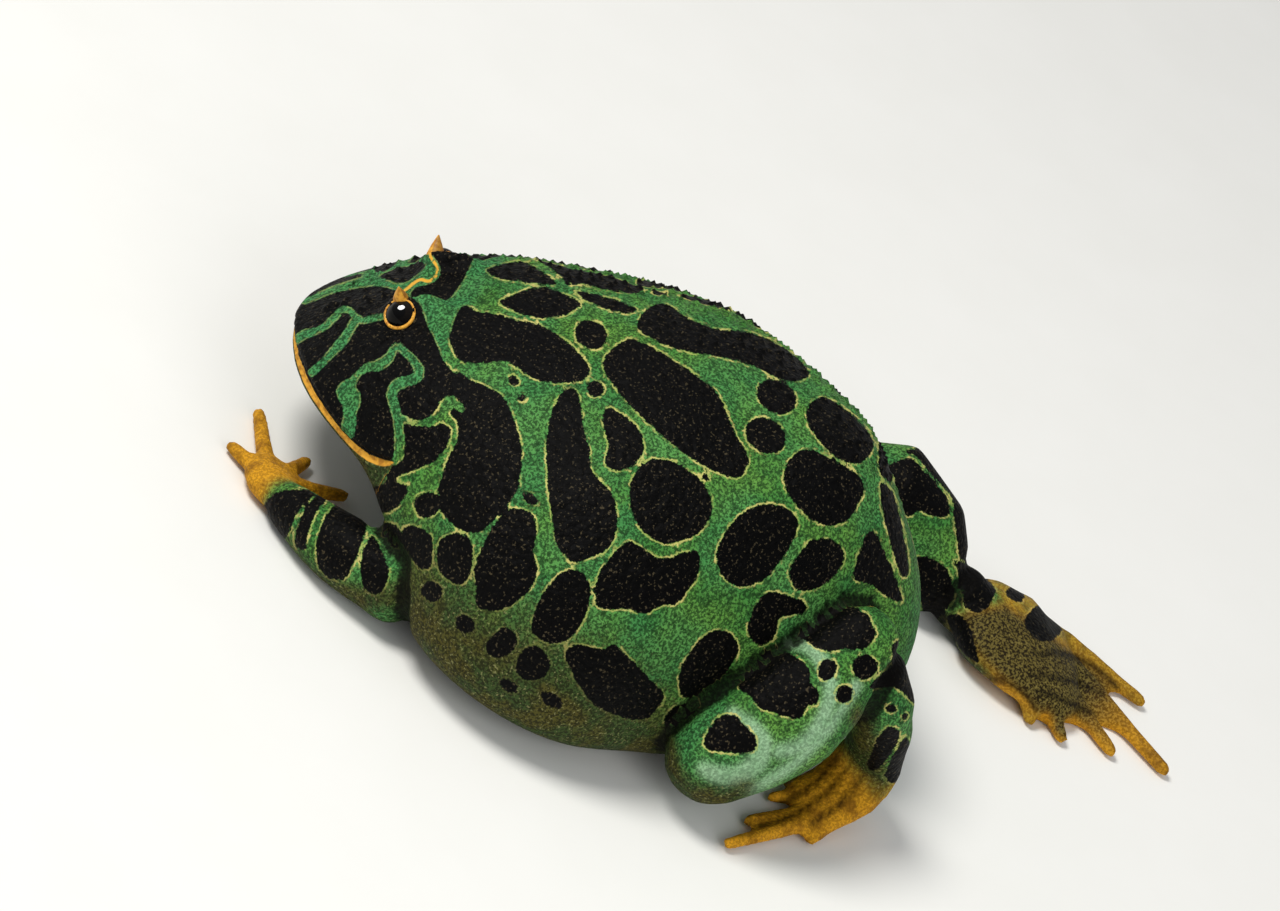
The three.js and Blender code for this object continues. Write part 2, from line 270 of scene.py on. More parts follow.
# %% Copies of the flesh solids
WRAPPED = sorted(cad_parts)
FLESH = [name for name in WRAPPED if not name.startswith("eye")]
SWELL = 0.22 * MM
EYE_SHRINK = -0.5 * MM
VOXEL = 0.9 * MM


def apply_modifiers(piece):
    select_only(piece)
    for modifier in list(piece.modifiers):
        bpy.ops.object.modifier_apply(modifier=modifier.name)


def swollen_copy(name):
    """A copy of one solid, its triangles merged, swollen a little; an eye is shrunk instead."""
    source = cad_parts[name]
    mesh = source.data.copy()
    mesh.materials.clear()
    twin = bpy.data.objects.new("flesh_" + name, mesh)
    bpy.context.scene.collection.objects.link(twin)
    select_only(twin)
    bpy.ops.object.mode_set(mode="EDIT")
    bpy.ops.mesh.select_all(action="SELECT")
    bpy.ops.mesh.remove_doubles(threshold=0.01 * MM)
    bpy.ops.object.mode_set(mode="OBJECT")
    swell = twin.modifiers.new("swell", "DISPLACE")
    swell.strength = EYE_SHRINK if name in ("eye_left", "eye_right") else SWELL
    swell.mid_level = 0
    apply_modifiers(twin)
    return twin


def tree_of(pieces):
    """A tree of all the pieces' faces, for finding the nearest point on them."""
    corners, faces = [], []
    for piece in pieces:
        start = len(corners)
        corners += [v.co.copy() for v in piece.data.vertices]
        faces += [tuple(start + i for i in p.vertices) for p in piece.data.polygons]
    return BVHTree.FromPolygons(corners, faces)


copies = {name: swollen_copy(name) for name in WRAPPED}

solids_tree = tree_of(copies.values())
head_tree, jaw_tree = tree_of([copies["head"]]), tree_of([copies["lower_jaw"]])
face_node = []
for i, name in enumerate(WRAPPED):
    face_node += [i] * len(copies[name].data.polygons)
select_only(copies["torso"], *copies.values())
bpy.ops.object.join()
skin = bpy.context.object
skin.name = "skin"
print(len(WRAPPED), "solids,", len(skin.data.polygons), "faces")

# %% Wrap
wrap = skin.modifiers.new("wrap", "REMESH")
wrap.mode = "VOXEL"
wrap.voxel_size = VOXEL
apply_modifiers(skin)
print("wrapped:", len(skin.data.vertices), "points,", len(skin.data.polygons), "faces")

# %% Which part each point belongs to


def positions(piece, what="co"):
    flat = np.empty(len(piece.data.vertices) * 3, np.float32)
    piece.data.vertices.foreach_get(what, flat)
    return flat.reshape(-1, 3).astype(float)


def normals(piece):
    return positions(piece, "normal")


def move_to(piece, places):
    piece.data.vertices.foreach_set("co", places.astype(np.float32).ravel())
    piece.data.update()


def edge_pairs(piece):
    flat = np.empty(len(piece.data.edges) * 2, np.int32)
    piece.data.edges.foreach_get("vertices", flat)
    return flat.reshape(-1, 2)


def relaxed(values, pairs, rounds, keep=0.5):
    """Every value moves towards the mean of its neighbours', round after round."""
    values = np.array(values, float)
    count = np.zeros(len(values))
    np.add.at(count, pairs[:, 0], 1)
    np.add.at(count, pairs[:, 1], 1)
    count = np.maximum(count, 1)
    shape = (-1,) + (1,) * (values.ndim - 1)
    for _ in range(rounds):
        total = np.zeros_like(values)
        np.add.at(total, pairs[:, 0], values[pairs[:, 1]])
        np.add.at(total, pairs[:, 1], values[pairs[:, 0]])
        values = keep * values + (1 - keep) * total / count.reshape(shape)
    return values


def smooth(value, low, high):
    """0 at low, 1 at high, with soft ends."""
    t = np.clip((value - low) / (high - low), 0, 1)
    return t * t * (3 - 2 * t)


def frog_place(places):
    """Millimetres behind the snout, out to the left, and above the floor."""
    return np.stack([(places[:, 1] - SNOUT) / MM, (places[:, 0] - MIDDLE) / MM,
                     places[:, 2] / MM], 1)


def nearest_parts(piece):
    """The number of the part nearest to each point."""
    faces = [solids_tree.find_nearest(Vector(p))[2] for p in positions(piece)]
    return np.array([face_node[i] for i in faces])


part_of = nearest_parts(skin)
pairs = edge_pairs(skin)


def belongs(*starts):
    """1 at the points of the parts whose names start so, 0 elsewhere."""
    wanted = [i for i, name in enumerate(WRAPPED) if name.startswith(starts)]
    return np.isin(part_of, wanted).astype(float)


trunk = belongs("torso", "head", "lower_jaw", "eye")
lids = belongs("eye")
digits = belongs("finger", "toe")
soles = belongs("foot", "hand")
print("trunk", int(trunk.sum()), "digits", int(digits.sum()), "soles", int(soles.sum()))

# %% Folds where one part lies against another
FOLD_WIDTH = 1.3 * MM
FOLD_DEPTH = 1.1 * MM
SOFT_JOINTS = [
    ("torso", "head", "lower_jaw", "eye"), ("hand", "finger"), ("foot", "toe"), ("foot", "tarsus"),
    ("upper_arm", "forearm"), ("forearm", "hand"), ("thigh_right", "shank_right"),
    ("thigh_left", "shank_left"), ("torso", "upper_arm_right"),
]


def joined_softly(one, other):
    return any(WRAPPED[one].startswith(group) and WRAPPED[other].startswith(group)
               for group in SOFT_JOINTS)


def fold_places(piece, numbers):
    """The points of the piece where two parts meet in a fold."""
    ends = edge_pairs(piece)
    ends = ends[numbers[ends[:, 0]] != numbers[ends[:, 1]]]
    hard = [i for i, (a, b) in enumerate(ends) if not joined_softly(numbers[a], numbers[b])]
    return positions(piece)[np.unique(ends[hard])]


def point_tree(places):
    """A tree of points, for finding those near a place."""
    tree = KDTree(len(places))
    for i, place in enumerate(places):
        tree.insert(place, i)
    tree.balance()
    return tree


def nearness(places, centres, width):
    """1 at the centres, falling to 0 over about the width."""
    tree = point_tree(centres)
    away = np.array([tree.find(place)[2] for place in places])
    return np.exp(-(away / width) ** 2)


fold_centres = fold_places(skin, part_of)
folds = nearness(positions(skin), fold_centres, FOLD_WIDTH)
print("points in folds:", int((folds > 0.5).sum()))

# %% Softening
TRUNK_SOFTNESS, LIMB_SOFTNESS, SOLE_SOFTNESS, DIGIT_SOFTNESS = 1.0, 0.55, 0.25, 0.05
LEVELS = 20

limbs = (1 - trunk) * (1 - digits) * (1 - soles)
behind, out, up = frog_place(positions(skin)).T
brow = smooth(up, 35, 37.5) * smooth(behind, 12, 14) * (1 - smooth(behind, 25, 28))
smoothing = TRUNK_SOFTNESS * trunk * (1 - 0.75 * lids) + LIMB_SOFTNESS * limbs
smoothing = smoothing + SOLE_SOFTNESS * soles + DIGIT_SOFTNESS * digits
smoothing = relaxed(smoothing, pairs, 6) * (1 - 0.6 * folds) * (1 - 0.8 * brow)
soft_group = skin.vertex_groups.new(name="soft")
for level in range(LEVELS + 1):
    chosen = np.nonzero(np.round(smoothing * LEVELS) == level)[0]
    soft_group.add([int(i) for i in chosen], level / LEVELS, "REPLACE")
for name, rounds, group in (("soften", 24, soft_group.name), ("ease", 2, "")):
    easing = skin.modifiers.new(name, "SMOOTH")
    easing.factor = 0.5
    easing.iterations = rounds
    easing.vertex_group = group
apply_modifiers(skin)
folds = relaxed(folds, pairs, 2)
points = positions(skin) - (SWELL + FOLD_DEPTH * folds)[:, None] * normals(skin)
points[:, 2] = np.maximum(points[:, 2], 0)
move_to(skin, points)
print("skin box", np.round(points.min(0), 4), np.round(points.max(0), 4))

# %% [markdown]
# ## Mouth, nostrils and the sockets of the eyes
# The line of the mouth is where the head and the lower jaw are equally near. The faces beside it
# are parted finer, then the line is pressed in and the lips are swollen. Round each eye the skin
# is drawn down on to the eyeball, so that the lid's own rim can lie on it.

# %% Finer faces beside the mouth and round the nostrils
MOUTH_CORNER = 30.5
NOSTRIL = (6.2, 4.6)
FAR = 6.0
SKIN_DEPTH = 1.5 * MM


def mouth_distance(places):
    """Millimetres from the line of the mouth, above 0 on the upper lip, below 0 on the lower."""
    values = np.full(len(places), FAR)
    for i in np.nonzero(frog_place(places)[:, 0] < MOUTH_CORNER + 3)[0]:
        place = Vector(places[i])
        from_jaw, from_head = (tree.find_nearest(place)[3] for tree in (jaw_tree, head_tree))
        if min(from_jaw, from_head) < SKIN_DEPTH:
            values[i] = (from_jaw - from_head) / MM
    return np.clip(values, -FAR, FAR)


def closing_at(behind):
    """1 along the mouth, falling to 0 at its corner."""
    return 1 - smooth(behind, MOUTH_CORNER - 1.5, MOUTH_CORNER + 1)


def nostril_distance(places):
    """Millimetres from the middle of the nearer nostril, on the upper side of the snout."""
    behind, out, up = frog_place(places).T
    away = np.hypot(behind - NOSTRIL[0], np.abs(out) - NOSTRIL[1])
    return np.where(up > 24, np.minimum(away, FAR), FAR)


def part_faces(piece, chosen):
    """Each face whose corners are all chosen is parted into four."""
    select_only(piece)
    bpy.ops.object.mode_set(mode="EDIT")
    bpy.ops.mesh.select_mode(type="VERT")
    bpy.ops.mesh.select_all(action="DESELECT")
    bpy.ops.object.mode_set(mode="OBJECT")
    piece.data.vertices.foreach_set("select", chosen)
    bpy.ops.object.mode_set(mode="EDIT")
    bpy.ops.mesh.subdivide(number_cuts=1)
    bpy.ops.object.mode_set(mode="OBJECT")


for reach in (2.4, 1.5):
    points = positions(skin)
    part_faces(skin, (np.abs(mouth_distance(points)) < reach) | (nostril_distance(points) < reach))
points = positions(skin)
print("after parting:", len(points), "points,", len(skin.data.polygons), "faces")

# %% Lips, nostrils, sockets
EYE_AIM = Vector((0.7, -0.42, 0.58)).normalized()
EYE_RADIUS = (left_eye_box[1].z - left_eye_box[0].z) / 2
SIDES = {"left": 1, "right": -1}
LIP_HEIGHT, CREASE_DEPTH = 0.22, 0.6
NOSTRIL_DEPTH, NOSTRIL_RIM = 0.7, 0.2


def eye_centre(side):
    box = left_eye_box if side > 0 else right_eye_box
    return (box[0] + box[1]) / 2


def eye_aim(side):
    return Vector((side * EYE_AIM.x, EYE_AIM.y, EYE_AIM.z))


def round_the_eye(places, side):
    """For each place: the way from the eye's centre, how far it is, and degrees off its aim."""
    offset = places - np.array(eye_centre(side))
    away = np.linalg.norm(offset, axis=1)
    ways = offset / away[:, None]
    return ways, away, np.degrees(np.arccos(np.clip(ways @ np.array(eye_aim(side)), -1, 1)))


lip = mouth_distance(points)
behind = frog_place(points)[:, 0]
closing = closing_at(behind)
crease = np.exp(-(lip / 0.4) ** 2)
swelling = np.exp(-((np.abs(lip) - 1.1) / 0.6) ** 2)
pit = np.exp(-(nostril_distance(points) / 0.6) ** 2)
pit_rim = np.exp(-((nostril_distance(points) - 1.3) / 0.5) ** 2)
outward = closing * (LIP_HEIGHT * swelling - CREASE_DEPTH * crease)
outward = outward - NOSTRIL_DEPTH * pit + NOSTRIL_RIM * pit_rim
points = points + outward[:, None] * MM * normals(skin)
for side in SIDES.values():
    ways, away, angle = round_the_eye(points, side)
    lid_radius = EYE_RADIUS + np.where(angle < 50, -0.3, 0.3) * MM
    drawn = (1 - smooth(angle, 60, 84)) * (away < 9 * MM)
    radius = np.where(away > lid_radius, away + drawn * (lid_radius - away), away)
    points = np.array(eye_centre(side)) + ways * radius[:, None]
move_to(skin, points)
pairs = edge_pairs(skin)
part_of = nearest_parts(skin)
print("eye radius", round(EYE_RADIUS / MM, 2), "mm")

# %% [markdown]
# ## Warts
# The back and the head are rough with small pointed warts, which make the outline finely spiky.
# They are sown at random over the upper side, none nearer to the next than a set distance. They
# fade towards the flanks and the rump, and leave the folds, the gold line between the horns, the
# eyes and the lips smooth.

# %% Warts
WART_SPACING = 2.1 * MM
WART_WIDTH = 0.55 * MM
WART_HEIGHTS = (0.3, 0.75)
GOLD_LINE_BEHIND, GOLD_LINE_OUT = 16.3, 10.5


def sown(places, spacing, seed):
    """Numbers of places taken at random, none within the spacing of another."""
    taken = {}
    chosen = []
    for i in np.random.default_rng(seed).permutation(len(places)):
        cell = tuple(int(c) for c in places[i] // spacing)
        around = (taken.get((cell[0] + a, cell[1] + b, cell[2] + c), ())
                  for a in (-1, 0, 1) for b in (-1, 0, 1) for c in (-1, 0, 1))
        if all(np.linalg.norm(places[i] - places[j]) > spacing for cell_js in around
               for j in cell_js):
            taken.setdefault(cell, []).append(i)
            chosen.append(i)
    return chosen


behind, out, up = frog_place(points).T
trunk = belongs("torso", "head", "lower_jaw", "eye")
rough = trunk * smooth(up, 18, 30) * (1 - 0.8 * smooth(behind, 98, 112))
rough *= 1 - nearness(points, fold_places(skin, part_of), 3 * MM)
rough *= 1 - (np.abs(behind - GOLD_LINE_BEHIND) < 1.6) * (np.abs(out) < GOLD_LINE_OUT) * 1.0
for side in SIDES.values():
    rough *= smooth(round_the_eye(points, side)[1] / MM, 4.2, 5.5)
rough *= smooth(np.abs(mouth_distance(points)), 2, 4)
candidates = np.nonzero(rough > 0.3)[0]
warts = candidates[sown(points[candidates], WART_SPACING, 5)]
skin_tree = point_tree(points)
directions = normals(skin)
raised = np.zeros(len(points))
for i, height in zip(warts, np.random.default_rng(6).uniform(*WART_HEIGHTS, len(warts))):
    for _, j, away in skin_tree.find_range(points[i], 2 * WART_WIDTH):
        raised[j] = max(raised[j], height * rough[i] * math.exp(-(away / WART_WIDTH) ** 2))
points = points + (raised * MM)[:, None] * directions
move_to(skin, points)
print(len(warts), "warts")

# %% [markdown]
# ## Where the picture's marks fall
# The markings are told in the level picture's millimetres. For a point of the skin the same view
# gives its place in that picture, so a blotch drawn there falls on the skin where the plate has
# it. The side that the plate doesn't show carries the same kind of blotches, read through the
# mirror image of that view.

# %% The picture's ruler


def picture_place(points, mirrored=False):
    """Each point's place in the level picture, (behind the snout, above the line), in mm."""
    points = np.array(points, float)
    if mirrored:
        points[:, 0] = 2 * MIDDLE - points[:, 0]
    offset = points - np.array(target)
    depth = offset @ np.array(toward)
    shrink = DISTANCE / (DISTANCE - depth) / MM
    behind = AIM_BEHIND + (offset @ np.array(along)) * shrink
    high = AIM_HIGH + (offset @ np.array(upward)) * shrink
    return np.stack([behind, high], 1)


def facing(points, directions, mirrored=False):
    """How squarely the skin faces the viewpoint: 1 straight at it, 0 edge on, below 0 away."""
    points, directions = np.array(points, float), np.array(directions, float)
    if mirrored:
        points[:, 0] = 2 * MIDDLE - points[:, 0]
        directions[:, 0] = -directions[:, 0]
    sight = np.array(viewpoint) - points
    sight /= np.linalg.norm(sight, axis=1)[:, None]
    return (sight * directions).sum(1)


print("the snout in the picture:", np.round(picture_place([at(0, 0, 21)])[0], 1))

# %% Distance to a closed outline or to a stroke


def rounded(corners, closed=True, per_side=5):
    """A smooth line through a few corners."""
    corners = np.array(corners, float)
    count = len(corners)
    line = []
    for i in range(count if closed else count - 1):
        if closed:
            a, b, c, d = (corners[(i + k) % count] for k in (-1, 0, 1, 2))
        else:
            a, b, c, d = (corners[min(max(i + k, 0), count - 1)] for k in (-1, 0, 1, 2))
        for t in np.arange(per_side) / per_side:
            line.append(b + 0.5 * t * (c - a + t * (2 * a - 5 * b + 4 * c - d
                                                    + t * (3 * (b - c) + d - a))))
    if not closed:
        line.append(corners[-1])
    return np.array(line)


def to_line(places, line, closed):
    """Distance from each place to a broken line, and how far along it the nearest point is."""
    ends = np.roll(line, -1, 0) if closed else line[1:]
    starts = line if closed else line[:-1]
    best = np.full(len(places), 1e9)
    part = np.zeros(len(places))
    for i, (start, end) in enumerate(zip(starts, ends)):
        run = end - start
        t = np.clip(((places - start) @ run) / max(run @ run, 1e-12), 0, 1)
        away = np.linalg.norm(places - start - t[:, None] * run, axis=1)
        closer = away < best
        best[closer] = away[closer]
        part[closer] = (i + t[closer]) / len(starts)
    return best, part


def inside(places, line):
    """Whether each place lies inside a closed line."""
    odd = np.zeros(len(places), bool)
    x, y = places.T
    for (x1, y1), (x2, y2) in zip(line, np.roll(line, -1, 0)):
        crosses = (y1 > y) != (y2 > y)
        with np.errstate(divide="ignore", invalid="ignore"):
            odd ^= crosses & (x < (x2 - x1) * (y - y1) / (y2 - y1) + x1)
    return odd


def blank():
    """A field with no mark near any point of the skin."""
    return np.full(len(points), FAR)


def blotch_field(field, places, usable, outlines):
    """Lowers the field to the signed distance of the nearest outline, below 0 inside it."""
    for corners in outlines:
        line = rounded(corners)
        low, high = line.min(0) - FAR, line.max(0) + FAR
        near = usable & (places > low).all(1) & (places < high).all(1)
        chosen = places[near]
        away, _ = to_line(chosen, line, True)
        away[inside(chosen, line)] *= -1
        field[near] = np.minimum(field[near], away)


def stroke_field(field, places, usable, strokes):
    """Lowers the field to the distance of the nearest stroke's edge, below 0 on the stroke."""
    for corners in strokes:
        line = rounded([(s, h) for s, h, _ in corners], closed=False)
        widths = np.array([w for _, _, w in corners], float)
        low, high = line.min(0) - FAR, line.max(0) + FAR
        near = usable & (places > low).all(1) & (places < high).all(1)
        away, part = to_line(places[near], line, False)
        half = np.interp(part * (len(widths) - 1), np.arange(len(widths)), widths) / 2
        field[near] = np.minimum(field[near], away - half)


print("rounded corners of a square:", len(rounded([(0, 0), (1, 0), (1, 1), (0, 1)])))

# %% [markdown]
# ## The markings
# The back and flanks are green with large black blotches, rounded on the back, long and slanting
# on the flank, each with a thin pale rim. The head is the other way round: black, with wandering
# green bands. Each outline is a few corners, which `rounded` turns into a soft line.

# %% Blotches of the back and flank


def oval(behind, high, long, tall):
    """A small round blotch as eight corners."""
    turns = [k * math.pi / 4 for k in range(8)]
    return [(behind + long * math.cos(a), high + tall * math.sin(a)) for a in turns]


BACK = [
    [(52.7, 46.1), (52.8, 49.5), (55, 51.8), (60, 51.9), (65.6, 53.1), (69, 55), (75, 56.3),
     (81, 55.8), (82.9, 54.5), (80.5, 51.8), (74, 50.8), (69, 49.4), (64, 47.3), (59, 45.8),
     (55, 45.4)],
    oval(80.1, 48.4, 3.7, 2.8),
    [(85.8, 49.1), (86.1, 51.5), (87.9, 52.9), (92.2, 52.9), (96.4, 51.9), (98.9, 50.3),
     (99.2, 47.3), (97.6, 45.5), (94, 44.9), (90.3, 45.9), (87.3, 47.3)],
    [(51.1, 37.7), (51.7, 41.3), (53.5, 43.7), (59.6, 44.3), (68, 44), (71.6, 43.1),
     (77.7, 38.9), (81.3, 37.1), (82.3, 34.6), (81.5, 32.6), (77.7, 31.6), (71.6, 31.4),
     (65.6, 32.2), (59.6, 33.4), (53.5, 35.5)],
    oval(82.1, 41.6, 3.7, 3.0),
    [(87.9, 38.9), (88.3, 41.9), (90.3, 43.7), (94.6, 44.3), (99.4, 44.3), (101.6, 43.1),
     (102.2, 40.1), (102.2, 37.1), (100.6, 34.6), (97.6, 33.4), (93.4, 34), (89.7, 35.8)],
    oval(46.8, 40.4, 2.9, 2.5),
    [(30.2, 36.7), (31.8, 39.5), (33.6, 41.5), (36, 43.4), (39.1, 43.9), (42.4, 44.2),
     (41.7, 41.9), (39.7, 39.5), (36.6, 37.7), (33, 36.8)],
    [(25.3, 40.2), (27.5, 43), (30, 44.9), (34, 45.2), (37, 44.8), (34, 42.8), (31, 41.6),
     (28.5, 40.4)],
    [(40.5, 45.3), (45, 47.2), (51, 48.5), (50, 46.8), (45, 45.2)],
    [(99, 52.3), (101.5, 51.5), (104, 48.5), (105, 46.3), (102.5, 46.8), (100.5, 49.5)],
    [(103.6, 45.1), (105.9, 45.1), (108.2, 43.4), (112.4, 39.1), (114.4, 36.9), (116.1, 34.3),
     (115, 33.5), (111.6, 36.3), (107.6, 40), (105.4, 42.5)],
]
FLANK = [
    [(25.1, 32.7), (28.2, 33.4), (30.6, 34.6), (34.8, 35.8), (38.6, 37.1), (43.3, 37.2),
     (47.6, 36.3), (50, 34.9), (49.7, 32.7), (47.1, 30.6), (43.8, 28.9), (40.5, 28.6),
     (36.7, 28.5), (34.3, 26.8), (32, 25.2), (29.6, 24.5), (27.2, 25.6), (25.8, 27.5)],
    oval(52.5, 32.8, 1.5, 1.4),
    [(56, 31), (59.6, 31.4), (63.2, 30.4), (65.4, 28), (65, 24.4), (63.2, 22.6), (60.8, 22.6),
     (59.6, 25.6), (56.6, 28.6)],
    [(48.1, 29.8), (49.7, 30.7), (51.7, 29.2), (54.7, 25.6), (57.2, 23.2), (59.6, 20.2),
     (64.4, 18.9), (68, 15.3), (69.2, 11.1), (68, 8.1), (65.6, 5.1), (63.2, 5.3), (60.8, 6.3),
     (57.8, 9.9), (54.7, 13.5), (52.3, 17.1), (49.9, 20.8), (48.1, 25.6)],
    [(66.2, 23.2), (66.8, 26.8), (69.2, 28.6), (72.8, 29.4), (77.7, 28.6), (80.7, 26.2),
     (81.5, 23.2), (80.7, 20.2), (77.7, 16.5), (74, 15.9), (70.4, 17.1), (67.4, 20.2)],
    [(85.2, 21.4), (85.5, 26.8), (87.9, 31), (91, 32.6), (94.6, 32.2), (95.8, 29.2),
     (96, 24.4), (95.2, 20.2), (92.8, 17.1), (89.7, 16.5), (86.7, 18.1)],
    [(97.9, 25.6), (98.4, 29.8), (100.6, 31.9), (103.6, 32.2), (105.4, 29.8), (104.8, 25.6),
     (103, 22.6), (100.6, 21.7), (98.4, 23.2)],
    [(70.2, 7.5), (70.7, 11.1), (72.2, 13.5), (77.7, 13.5), (80.7, 16.5), (83.1, 18.1),
     (84.9, 14.7), (84.9, 11.1), (84.3, 8.1), (82.5, 6.9), (80.7, 3.9), (77.7, 3), (73.4, 0.6),
     (71.6, 2.1), (70.4, 4.5)],
    [(96.4, 14.7), (96.4, 17.7), (98.2, 19.3), (103, 20.5), (104.2, 18.9), (101.2, 15.9),
     (102.2, 12.3), (100.6, 9.9), (98.4, 10.3), (97, 11.7)],
    [(90.9, 0.2), (91.3, 5.1), (92.8, 8.1), (95.2, 8.9), (97.9, 7.5), (98.4, 3.9), (97.9, 0.2),
     (96.4, -3.4), (94, -4.8), (91.9, -2.8)],
    [(72.6, -9.4), (73.4, -7), (77.7, -5.2), (78.9, -3.4), (82.5, -4), (87.3, -5.2),
     (91, -6.4), (91.3, -9.4), (90.4, -11.8), (86.7, -13.6), (81.3, -14.2), (77.7, -12.8),
     (74.7, -11.2)],
    [(50.2, 1.4), (50.5, 6.3), (52.9, 8.1), (55.3, 8.1), (57.2, 5.7), (58.4, 2.7), (60.5, 0.8),
     (61.4, -2.8), (60.2, -7), (58.4, -9.4), (55.3, -10.6), (53.5, -8.2), (51.1, -4.6)],
    [(63.8, -2.2), (64.4, 2.1), (66.8, 4.2), (69.8, 3.3), (71.6, 0.2), (72.2, -3.4),
     (71.6, -7), (69.2, -9.4), (65.6, -9.2), (64.2, -6.4)],
    [(43.6, -4.6), (44.5, -2.2), (47.5, -1), (49.3, -2.8), (51.1, -6.4), (50.5, -8.8),
     (47.5, -9.2), (45.1, -7.6)],
    [(37, -5.5), (39.5, -4), (42.5, -5), (44.5, -9), (43, -10.2), (40, -9), (37.5, -7.5)],
    [(30, 22.3), (34, 22.6), (37.8, 23.2), (40.5, 22.7), (43, 20.8), (46, 18.3), (48, 15.6),
     (49.6, 12.5), (50.4, 9.5), (50, 5.5), (49, 1.5), (47, -0.3), (43.5, -0.6), (40.5, 0.6),
     (38.6, 3.2), (37.4, 7), (36.8, 11), (35.6, 14.5), (33, 18)],
    [(28.3, -4), (29.8, -1), (32.5, 1), (34, 0.5), (34.3, -2), (33, -5), (30.5, -6)],
    [(36, 0), (37.5, 2), (40, 2.2), (40.5, 0), (39, -2.3), (37, -2)],
    [(33.5, -7), (35.5, -6), (38, -7.5), (37.5, -9.5), (35, -9.5)],
    oval(47, -12.5, 1.9, 1.7),
    [(60.5, -12), (62, -10.8), (64, -11.5), (64.5, -14), (62.5, -16.5), (60, -15.5)],
    [(66, -12.5), (68, -10.8), (71, -12), (71.5, -15), (69, -17), (66.5, -16)],
    oval(55, -14.2, 2, 1.4),
    oval(74.8, -17.5, 2.2, 1.2),
    oval(67.2, -19.3, 1.8, 1),
    [(93.3, -9.5), (94, -6.5), (97, -4.6), (98.2, -6), (96.3, -9.5), (94.5, -11)],
    oval(53, 10.4, 1.5, 0.9),
    oval(39.6, 26.4, 1, 0.8),
    oval(42.4, 24.6, 0.8, 0.7),
    oval(77, 29.9, 0.8, 0.6),
]
RUMP = [
    [(106.2, 36.6), (107.6, 37.3), (109.3, 36.3), (111.6, 34.6), (115.5, 31.8), (117.8, 29.5),
     (115.5, 29), (111.6, 29.2), (109.9, 28.7), (108.2, 28.7), (107.2, 31.2)],
]
print(len(BACK) + len(FLANK) + len(RUMP), "blotches on the trunk")

# %% Markings of the head
HEAD_BLACK = [
    [(15.5, 29.2), (13, 31), (8, 32), (2, 27), (-3, 19), (-3, 8), (5, 0), (14, -5), (24, -6),
     (30, -1), (33.5, 2), (36, 6), (36.5, 13), (36, 18), (34, 22), (30.2, 21.9), (27, 23.1),
     (24, 25.2), (21.3, 26.8), (19.6, 28.4), (17.4, 29.3)],
]
HEAD_GREEN = [
    [(14.8, 24.4, 1.0), (13, 22.6, 1.3), (11.6, 21.3, 1.3), (10.2, 21.2, 1.2), (8.6, 21.6, 1.2),
     (7.5, 20.8, 1.2), (7.1, 19, 1.4), (6.6, 17, 1.2), (5.8, 15.6, 1.2), (4.5, 14.2, 1.7),
     (3.8, 12.8, 1.7), (3.4, 11.6, 1.4)],
    [(10.5, 21, 1.8), (10.6, 18.6, 1.6), (10.5, 16, 1.9), (10, 13.5, 1.6), (9.5, 11, 1.3),
     (8.9, 8.8, 1.4)],
    [(17.4, 21.6, 0.8), (18.3, 21, 1.5), (18.9, 19.8, 1.6), (18.9, 18, 1.8), (18.2, 16.3, 2.2),
     (16.7, 14.8, 1.5), (16, 13.3, 1.1), (15.8, 11.5, 1.4), (15.9, 9.6, 4.2), (17.4, 8.2, 3.6),
     (18.3, 6.4, 2.2), (19.3, 4.4, 2.6), (19.8, 3.4, 2.4)],
    [(18.6, 20.9, 1.3), (20.6, 20.6, 1.3), (22.8, 20.2, 1.5), (24.6, 19.3, 1.9), (25, 18, 1.7),
     (24, 16.6, 2), (22.6, 14.8, 2.2), (22.8, 13, 1.9), (24.4, 11.4, 1.7), (25.6, 10.2, 1.6),
     (27, 8.6, 1.8), (28.3, 6.8, 1.8), (29.3, 5, 1.8), (29.6, 3.4, 1.4)],
    [(25.8, 10.5, 1.2), (28, 10.7, 1.1), (30, 11.6, 1.2), (31.4, 13, 1.8), (32, 14.8, 2.5),
     (31.9, 16.8, 2.2), (32.6, 17.7, 2), (34.6, 17.2, 0.9)],
    [(32.6, 14.5, 2.2), (34.6, 14.3, 1.6), (35.8, 13, 1.4), (36.3, 11, 1.2), (36.3, 8.4, 1.4),
     (36, 6, 2), (35, 4.2, 2.6), (33.6, 2.8, 2.2), (32, 1.2, 1.5)],
]

# On top of the snout and between the horns
FLAP_BLACK = [
    [(14.9, 39.2), (15.3, 38), (17, 37), (18.6, 36.1), (18.8, 34.2), (18, 32.7), (16.8, 31.6),
     (16.2, 30), (17, 29.5), (18.1, 30.7), (19.6, 31.5), (21, 31.8), (22.4, 32.4), (22.8, 36),
     (22.5, 39), (21.9, 41.5), (18.8, 42.5), (15.4, 41)],
]
SNOUT_GREEN = [
    [(1.2, 18.6, 0.8), (2.2, 20, 1.1), (4.1, 22.8, 1.3), (6, 25, 1.5), (8, 27, 2),
     (9.6, 28.2, 1.8), (11.4, 28.9, 1.4), (13.2, 29.4, 1.3), (14.4, 30, 1.2)],
    [(8.4, 27.4, 2.2), (9, 29.4, 2.2), (9.6, 31.4, 1.8), (11.2, 33.6, 1.8), (13, 35.4, 2),
     (14.4, 36.8, 2), (14.2, 38.4, 1)],
    [(14.6, 30.2, 1.2), (15.5, 31.8, 1), (16.3, 33.6, 1.6), (17, 35, 2.2), (16, 36.2, 1.8),
     (14.4, 36.6, 2)],
]
